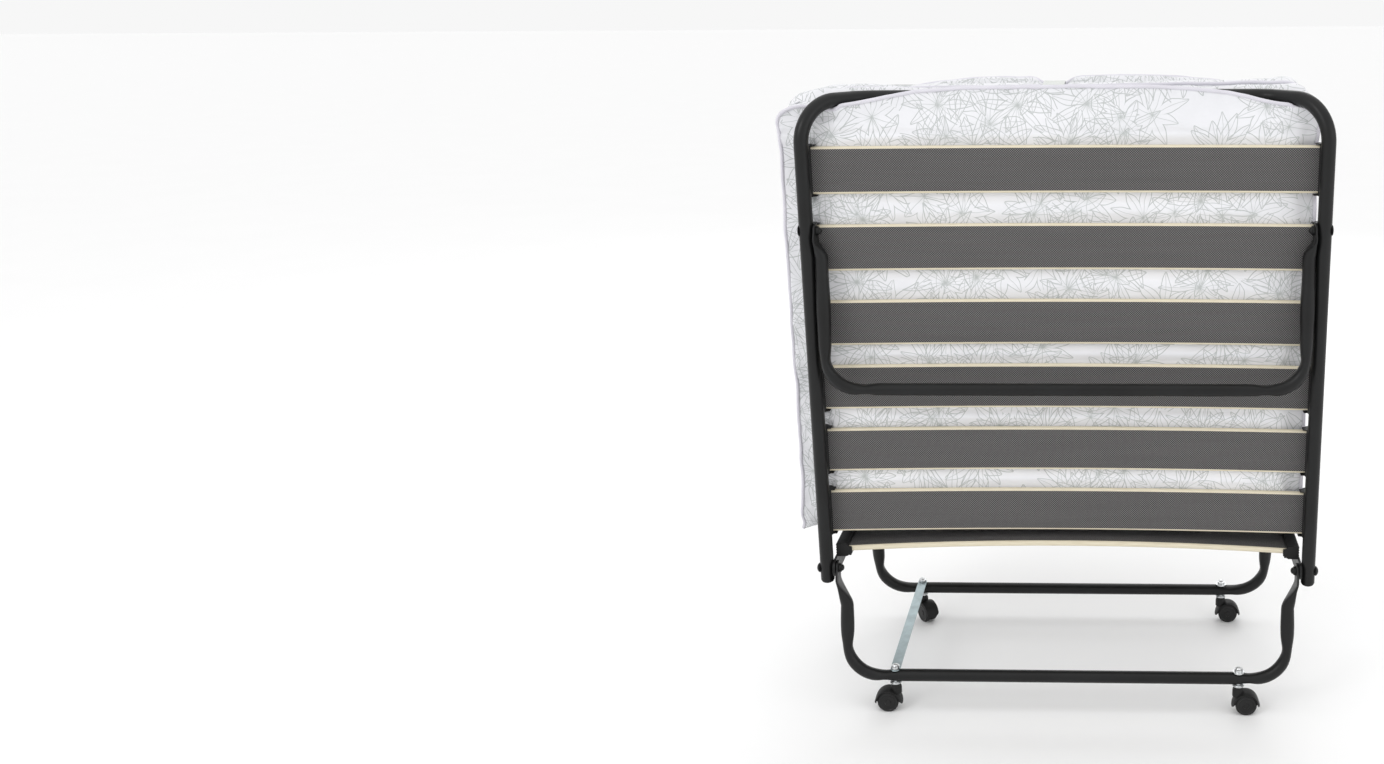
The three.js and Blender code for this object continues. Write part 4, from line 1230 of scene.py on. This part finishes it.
def squared(rows):
    """Draws the cover out to its sewn edges, which the filling has rounded."""
    side = np.where(rows[:, 1] > MIDDLE_Y, 1, -1)
    off_middle = np.abs(rows[:, 1] - MIDDLE_Y)
    x, z = rows[:, 0].copy(), rows[:, 2].copy()
    behind, below = cornered(outer_face(z) - off_middle, MATTRESS_TOP - z, 0.030)
    off_middle, z = outer_face(z) - behind, MATTRESS_TOP - below
    for edge, way in ((MATTRESS_RIGHT, 1), (MATTRESS_LEFT, -1)):
        from_end, behind = cornered(way * (edge - x), outer_face(z) - off_middle, 0.030)
        x, off_middle = edge - way * from_end, outer_face(z) - behind
        from_end, above = cornered(way * (edge - x), z - MATTRESS_BOTTOM, 0.030)
        x, z = edge - way * from_end, MATTRESS_BOTTOM + above
        from_end, inside = cornered(way * (edge - x), off_middle - fold_gap(z), 0.018)
        standing = z > CREASE_Z + 0.030
        x = np.where(standing, edge - way * from_end, x)
        off_middle = np.where(standing, fold_gap(z) + inside, off_middle)
    return np.stack([x, MIDDLE_Y + side * off_middle, z], 1)


def rim_lift(x, y):
    """How far the soft rims stand up beside each end bar; the outer ones drop towards their ends."""
    from_middle = np.abs(x - MIDDLE_X)
    outer = blend_share(np.abs(y - MIDDLE_Y), 0.055, 0.075)
    outer_rim = 0.015 * (1 - blend_share(from_middle, 0.12, 0.34))
    outer_rim = outer_rim - 0.014 * blend_share(from_middle, 0.22, 0.37)
    inner_rim = 0.011 * (1 - blend_share(from_middle, 0.36, 0.42))
    rear_extra = 0.002 + 0.004 * (x - MIDDLE_X) / MATTRESS_RIGHT
    return outer * outer_rim + (1 - outer) * inner_rim + np.where(y > MIDDLE_Y, rear_extra, 0)


def crowned(rows):
    """Raises the rims, fading to nothing a little way down the faces."""
    lift = rim_lift(rows[:, 0], rows[:, 1])
    rows[:, 2] += lift * (1 - blend_share(MATTRESS_TOP - rows[:, 2], 0.008, 0.050))
    return rows


def whole_mattress():
    """The folded mattress as one U-shaped body."""
    inset = SWELL
    right = mattress_outline(inset)
    outline = right + [(-a, z) for a, z in right[-2:0:-1]]
    low = MATTRESS_LEFT + inset
    high = MATTRESS_RIGHT - inset
    turned = Matrix(((0, 0, 1, 0), (1, 0, 0, 0), (0, 1, 0, 0), (0, 0, 0, 1)))
    to_yz = Matrix.Translation((0, MIDDLE_Y, 0)) @ turned
    vertices, faces = prism([outline], low, high, to_yz)
    body = new_piece("mattress_blank", vertices, faces, "cloth")
    remesh(body, 0.0075)
    set_vertex_rows(body, rounded_plan(vertex_rows(body)))
    inflate(body, 4.0, SWELL + 0.005)
    smoother = body.modifiers.new("Finer", "SUBSURF")
    smoother.levels = 1
    smoother.render_levels = 1
    apply_modifiers(body)
    rows = stretched(vertex_rows(body), 0, MATTRESS_LEFT, MATTRESS_RIGHT)
    rows = crowned(squared(stretched(rows, 2, MATTRESS_BOTTOM, MATTRESS_TOP)))
    rows = keep_off_centre(keep_off_frame(rows))
    set_vertex_rows(body, rows)
    normals = vertex_normals(body)
    rows = rows - normals * wrinkle_depths(rows, normals)[:, None]
    rows = keep_off_centre(keep_off_frame(rows))
    set_vertex_rows(body, rows)
    return body


def half_mattress(body, end):
    """The part of the whole mattress on one side of the middle plane, closed where it was cut."""
    sheet = bmesh.new()
    sheet.from_mesh(body.data)
    geometry = sheet.verts[:] + sheet.edges[:] + sheet.faces[:]
    cut = bmesh.ops.bisect_plane(
        sheet, geom=geometry, plane_co=(0, MIDDLE_Y, 0), plane_no=(0, WAY[end], 0), clear_inner=True)
    rim = [e for e in cut["geom_cut"] if isinstance(e, bmesh.types.BMEdge)]
    for edge in rim:
        edge.smooth = False
    closed = bmesh.ops.holes_fill(sheet, edges=rim)
    bmesh.ops.triangulate(sheet, faces=closed["faces"])
    mesh = bpy.data.meshes.new(f"{end}_mattress_half")
    sheet.to_mesh(mesh)
    sheet.free()
    mesh.materials.append(MATERIALS["cloth"])
    mesh.polygons.foreach_set("use_smooth", [True] * len(mesh.polygons))
    cloth_map(mesh)
    piece = bpy.data.objects.new(f"{end}_mattress_half", mesh)
    bpy.context.scene.collection.objects.link(piece)
    return piece


def bend_with_half(piece):
    """Fabric over the fold: bakes the piece's placement into its mesh, and it stays where it lies."""
    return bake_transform(piece)


def edge_route(end, inner):
    """Nominal line of the piping round the outer or the inner face of one half, with the way it looks."""
    way = WAY[end]
    x_ends = (MATTRESS_RIGHT, MATTRESS_LEFT)
    if inner:
        levels = np.linspace(CREASE_Z + 0.004, MATTRESS_TOP, 60)
        profile = [(0.001, CREASE_Z, -0.1, 1.0), (0.010, CREASE_Z + 0.003, -0.4, 0.8)]
        profile += [(fold_gap(z), z, -1.0, 0.15) for z in levels]
    else:
        corner = OUTER_CORNER
        low = MATTRESS_BOTTOM
        centre = outer_face(low + corner) - corner
        profile = [(d, low, 0.0, -1.0) for d in np.linspace(0.001, centre, 5)[:-1]]
        profile += [(centre + corner * math.sin(t), low + corner - corner * math.cos(t),
                     math.sin(t), -math.cos(t))
                    for t in np.linspace(0, RIGHT_ANGLE, 12)]
        levels = np.linspace(low + corner, MATTRESS_TOP, 60)[1:]
        profile += [(outer_face(z), z, 1.0, 0.0) for z in levels]
    up_one_end = [((x_ends[0], d, z), (1, ny, nz)) for d, z, ny, nz in profile]
    rim = profile[-1][0]
    face_way = -1 if inner else 1
    across = [((x, rim, MATTRESS_TOP), (0, face_way, 1))
              for x in np.linspace(x_ends[0], x_ends[1], 90)[1:-1]]
    down_other = [((x_ends[1], d, z), (-1, ny, nz)) for d, z, ny, nz in profile[::-1]]
    route = up_one_end + across + down_other
    points = np.array([p for p, _ in route])
    looks = np.array([n for _, n in route], float)
    points = rounded_plan(points)
    points[:, 1] = MIDDLE_Y + way * points[:, 1]
    points = crowned(points)
    looks[:, 1] *= way
    return points, looks / np.linalg.norm(looks, axis=1, keepdims=True)


def smoothed(rows, rounds):
    rows = rows.copy()
    for _ in range(rounds):
        rows[1:-1] = 0.25 * rows[:-2] + 0.5 * rows[1:-1] + 0.25 * rows[2:]
    return rows


def resampled(rows, spacing):
    steps = np.linalg.norm(np.diff(rows, axis=0), axis=1)
    travelled = np.concatenate([[0], np.cumsum(steps)])
    wanted = np.linspace(0, travelled[-1], max(2, int(travelled[-1] / spacing)))
    return np.stack([np.interp(wanted, travelled, rows[:, k]) for k in range(3)], 1)


PIPING_RADIUS = 0.0028


def piping(tree, end, inner):
    """Covered cord sewn along an edge of the cover."""
    points, looks = edge_route(end, inner)
    placed = []
    for point, look in zip(points, looks):
        start = Vector(point) + Vector(look) * 0.03
        hit, _, _, _ = tree.ray_cast(start, -Vector(look), 0.08)
        if hit is None:
            hit, _, _, _ = tree.find_nearest(start)
        placed.append(hit + Vector(look) * PIPING_RADIUS * 0.35)
    rows = np.array([p[:] for p in placed])
    ends = rows[[0, -1]].copy()
    rows = smoothed(resampled(rows, 0.004), 4)
    rows[[0, -1]] = ends
    rows = keep_piping_off(rows)
    lane = 5.0 if inner else 1.0
    ripple = np.array([noise.noise(Vector((i * 0.31, lane, WAY[end]))) for i in range(len(rows))])
    sizes = PIPING_RADIUS * (1 + 0.06 * ripple)
    rings = [ring_of(size, size, 12) for size in sizes]
    name = f"{end}_{'inner' if inner else 'outer'}_piping"
    piece = sweep(name, [Vector(r) for r in rows], lambda i: rings[i], "piping", up=(0.3, 0.8, 0.5))
    bend_with_half(piece)
    return piece


def keep_piping_off(rows):
    """Keeps the piping's surface off the end bars: it dips under them where they cross it."""
    for end in ENDS:
        mine = (rows[:, 1] > MIDDLE_Y) == (end == "rear")
        if not mine.any():
            continue
        local = to_half(rows[mine], end)
        path = np.array([p[:] for p in hoop_path()])
        away = local[:, None, :] - path[None, :, :]
        apart = np.linalg.norm(away, axis=2)
        nearest = apart.argmin(1)
        gap = apart.min(1)
        room = FRAME_RADIUS + PIPING_RADIUS + 0.0006
        push = np.clip(room - gap, 0, None)[:, None]
        outward = away[np.arange(len(local)), nearest]
        outward[:, 2] = -np.abs(outward[:, 2])
        outward /= np.maximum(np.linalg.norm(outward, axis=1, keepdims=True), 1e-9)
        rows[mine] = from_half(local + outward * push, end)
    return rows


def zip_tapes(tree, end):
    """Flat tapes over the zip, down the middle of each end of the mattress, to a cross seam."""
    way = WAY[end]
    for side, x, look in (("right", MATTRESS_RIGHT, 1), ("left", MATTRESS_LEFT, -1)):
        path = []
        for z in np.linspace(MATTRESS_TOP - 0.012, ZIP_SEAM_Z[end], 40):
            middle = (outer_face(z) + fold_gap(z)) / 2 + 0.004
            start = Vector((x + look * 0.04, MIDDLE_Y + way * middle, z))
            hit, _, _, _ = tree.ray_cast(start, Vector((-look, 0, 0)), 0.1)
            if hit is not None:
                path.append(hit + Vector((look * 0.0004, 0, 0)))
        rows = smoothed(np.array([p[:] for p in path]), 4)
        path = [Vector(r) for r in rows]
        HALF_TAPE = 0.0042
        band = [(-0.0008, -HALF_TAPE), (0.0006, -HALF_TAPE), (0.0011, -HALF_TAPE * 0.5), (0.0003, 0),
                (0.0011, HALF_TAPE * 0.5), (0.0006, HALF_TAPE), (-0.0008, HALF_TAPE)]
        ordered = [(look * a, b) for a, b in band]
        piece = sweep(f"{end}_zip_tape_{side}", path, lambda i: ordered, "tape", up=(0, 1, 0))
        if look < 0:
            piece.data.flip_normals()
        crease_sharply(piece, 50)
        finish_piece(piece, f"{end}_half", "mattress_cloth")
        if end == "rear":
            zip_pull(path[-1], look, side)


def zip_pull(place, look, side):
    """Slider and its hanging tab."""
    turn = Matrix.Rotation(look * RIGHT_ANGLE, 4, "Y")
    space = Matrix.Translation(place + Vector((look * 0.0018, 0, 0.002))) @ turn
    slider = [(-0.0045, -0.0032), (0.0045, -0.0040), (0.0050, 0.0040), (-0.0045, 0.0032)]
    outline = ((0.002, -0.0022), (0.016, -0.0028), (0.018, 0), (0.016, 0.0028), (0.002, 0.0022))
    tab = [(look * a, b) for a, b in outline]
    if look < 0:
        tab = tab[::-1]
    parts = [prism([slider], -0.0008, 0.0016, space), prism([tab], 0.0016, 0.0026, space)]
    piece = joined(f"rear_zip_pull_{side}", parts, "bright")
    bevelled(piece, 0.0004)
    finish_piece(piece, "rear_half", "zinc")


def mattress():
    body = whole_mattress()
    tree = BVHTree.FromObject(body, bpy.context.evaluated_depsgraph_get())
    for end in ENDS:
        half = half_mattress(body, end)
        bend_with_half(half)
        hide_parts(f"{end}_mattress", "centre_mattress")
        piping(tree, end, False)
        piping(tree, end, True)
        zip_tapes(tree, end)
    bpy.data.objects.remove(body)


# ---------------------------------------------------------------- closing strap


def closing_strap():
    """Webbing sewn round the front bar, with its tail laid over the rear bar."""
    bar = PIVOT["strap_lift"]
    THICK = 0.0016
    eye = FRAME_RADIUS + 0.0007 + THICK / 2
    rear_y = 2 * MIDDLE_Y - bar.y
    tail_z = STRAP_HIGH.z - THICK
    points = [Vector((STRAP_X, bar.y + eye * math.cos(t), bar.z + eye * math.sin(t)))
              for t in np.linspace(math.radians(62), math.radians(62 - 332), 44)]
    start = points[-1]
    stop = Vector((STRAP_X, rear_y + 0.004, tail_z))
    for k in range(1, 24):
        share = k / 23
        points.append(start.lerp(stop, share) + Vector((0, 0, -0.0012 * math.sin(math.pi * share))))
    points += [Vector((STRAP_X, rear_y + 0.004 + 0.020 * math.sin(t), tail_z - 0.020 * (1 - math.cos(t))))
               for t in np.linspace(0, math.radians(50), 9)[1:]]
    selvedge = STRAP_HALF - 0.0006
    ring = [(-THICK / 2, -selvedge), (0, -STRAP_HALF), (THICK / 2, -selvedge),
            (THICK / 2, selvedge), (0, STRAP_HALF), (-THICK / 2, selvedge)]
    band = sweep("closing_strap_webbing", points, lambda i: ring, "webbing", up=(1, 0, 0))
    crease_sharply(band, 50)
    finish_piece(band, "closing_strap", "strap_webbing", "closing_strap")


# ---------------------------------------------------------------- stage and camera


def floor():
    half = 60.0
    s = Shader("pale_floor", 0.8)
    mottle = s.noise(s.coordinate(), 3.0, 4.0)
    s.colour(s.mix(mottle, grey(0.89), grey(0.91)))
    MATERIALS["floor"] = s.material
    corners = [(-half, -half, 0), (half, -half, 0), (half, half, 0), (-half, half, 0)]
    new_piece("studio_floor", corners, [(0, 1, 2, 3)], "floor")


def soft_light(name, place, aim, size, power):
    lamp = bpy.data.lights.new(name, "AREA")
    lamp.shape = "DISK"
    lamp.size = size
    lamp.energy = power
    holder = bpy.data.objects.new(name, lamp)
    holder.location = place
    holder.rotation_euler = (Vector(aim) - Vector(place)).to_track_quat("-Z", "Y").to_euler()
    bpy.context.scene.collection.objects.link(holder)


def studio():
    world = bpy.data.worlds.new("studio")
    world.use_nodes = True
    sky = world.node_tree.nodes["Background"]
    sky.inputs[0].default_value = (1, 1, 1, 1)
    sky.inputs[1].default_value = 0.93
    bpy.context.scene.world = world
    bpy.context.scene.view_settings.view_transform = "Standard"
    aim = (MIDDLE_X, 0, 0.55)
    soft_light("key_light", (-2.2, -2.6, 2.6), aim, 1.6, 26)
    soft_light("fill_light", (2.8, -2.0, 1.6), aim, 2.2, 12)
    soft_light("back_light", (0.6, 3.2, 2.4), aim, 2.0, 22)
    overhead = bpy.data.lights.new("overhead", "SUN")
    overhead.energy = 0.45
    overhead.angle = math.radians(80)
    bpy.context.scene.collection.objects.link(bpy.data.objects.new("overhead", overhead))


def camera():
    """Where the front view is taken from, read off the bed's own proportions."""
    PLACE = Vector((0.0760, -2.0426, 1.1231))
    YAW = 0.0321
    PITCH = 0.2531
    ROLL = -0.0065
    lens = bpy.data.cameras.new("camera")
    lens.sensor_width = 36
    lens.lens = 33.33
    lens.shift_x = -0.269
    lens.shift_y = -0.0343
    lens.clip_end = 200
    holder = bpy.data.objects.new("camera", lens)
    forward = Vector((-math.sin(YAW) * math.cos(PITCH), math.cos(YAW) * math.cos(PITCH), -math.sin(PITCH)))
    level = forward.to_track_quat("-Z", "Y").to_matrix().to_4x4()
    holder.matrix_world = Matrix.Translation(PLACE) @ level @ Matrix.Rotation(ROLL, 4, "Z")
    bpy.context.scene.collection.objects.link(holder)
    bpy.context.scene.camera = holder


# ---------------------------------------------------------------- assembly

floor()
studio()
camera()
for each_end in ENDS:
    side_tubes(each_end)
    legs(each_end)
    half_slats(each_end)
    rivets(each_end)
    for each_side in SIDES:
        fold_bolt = f"{each_end}_fold_bolt_{each_side}"
        leg_bolt = f"{each_end}_leg_bolt_{each_side}"
        cross_bolt(f"{each_end}_fold_screw_{each_side}", fold_bolt, "centre_section", 0.005)
        cross_bolt(f"{each_end}_leg_screw_{each_side}", leg_bolt, f"{each_end}_half", 0.0018)
        stem_bolt(each_end, each_side)
        caster(each_end, each_side)
centre_slats()
rails()
strut()
closing_strap()
mattress()
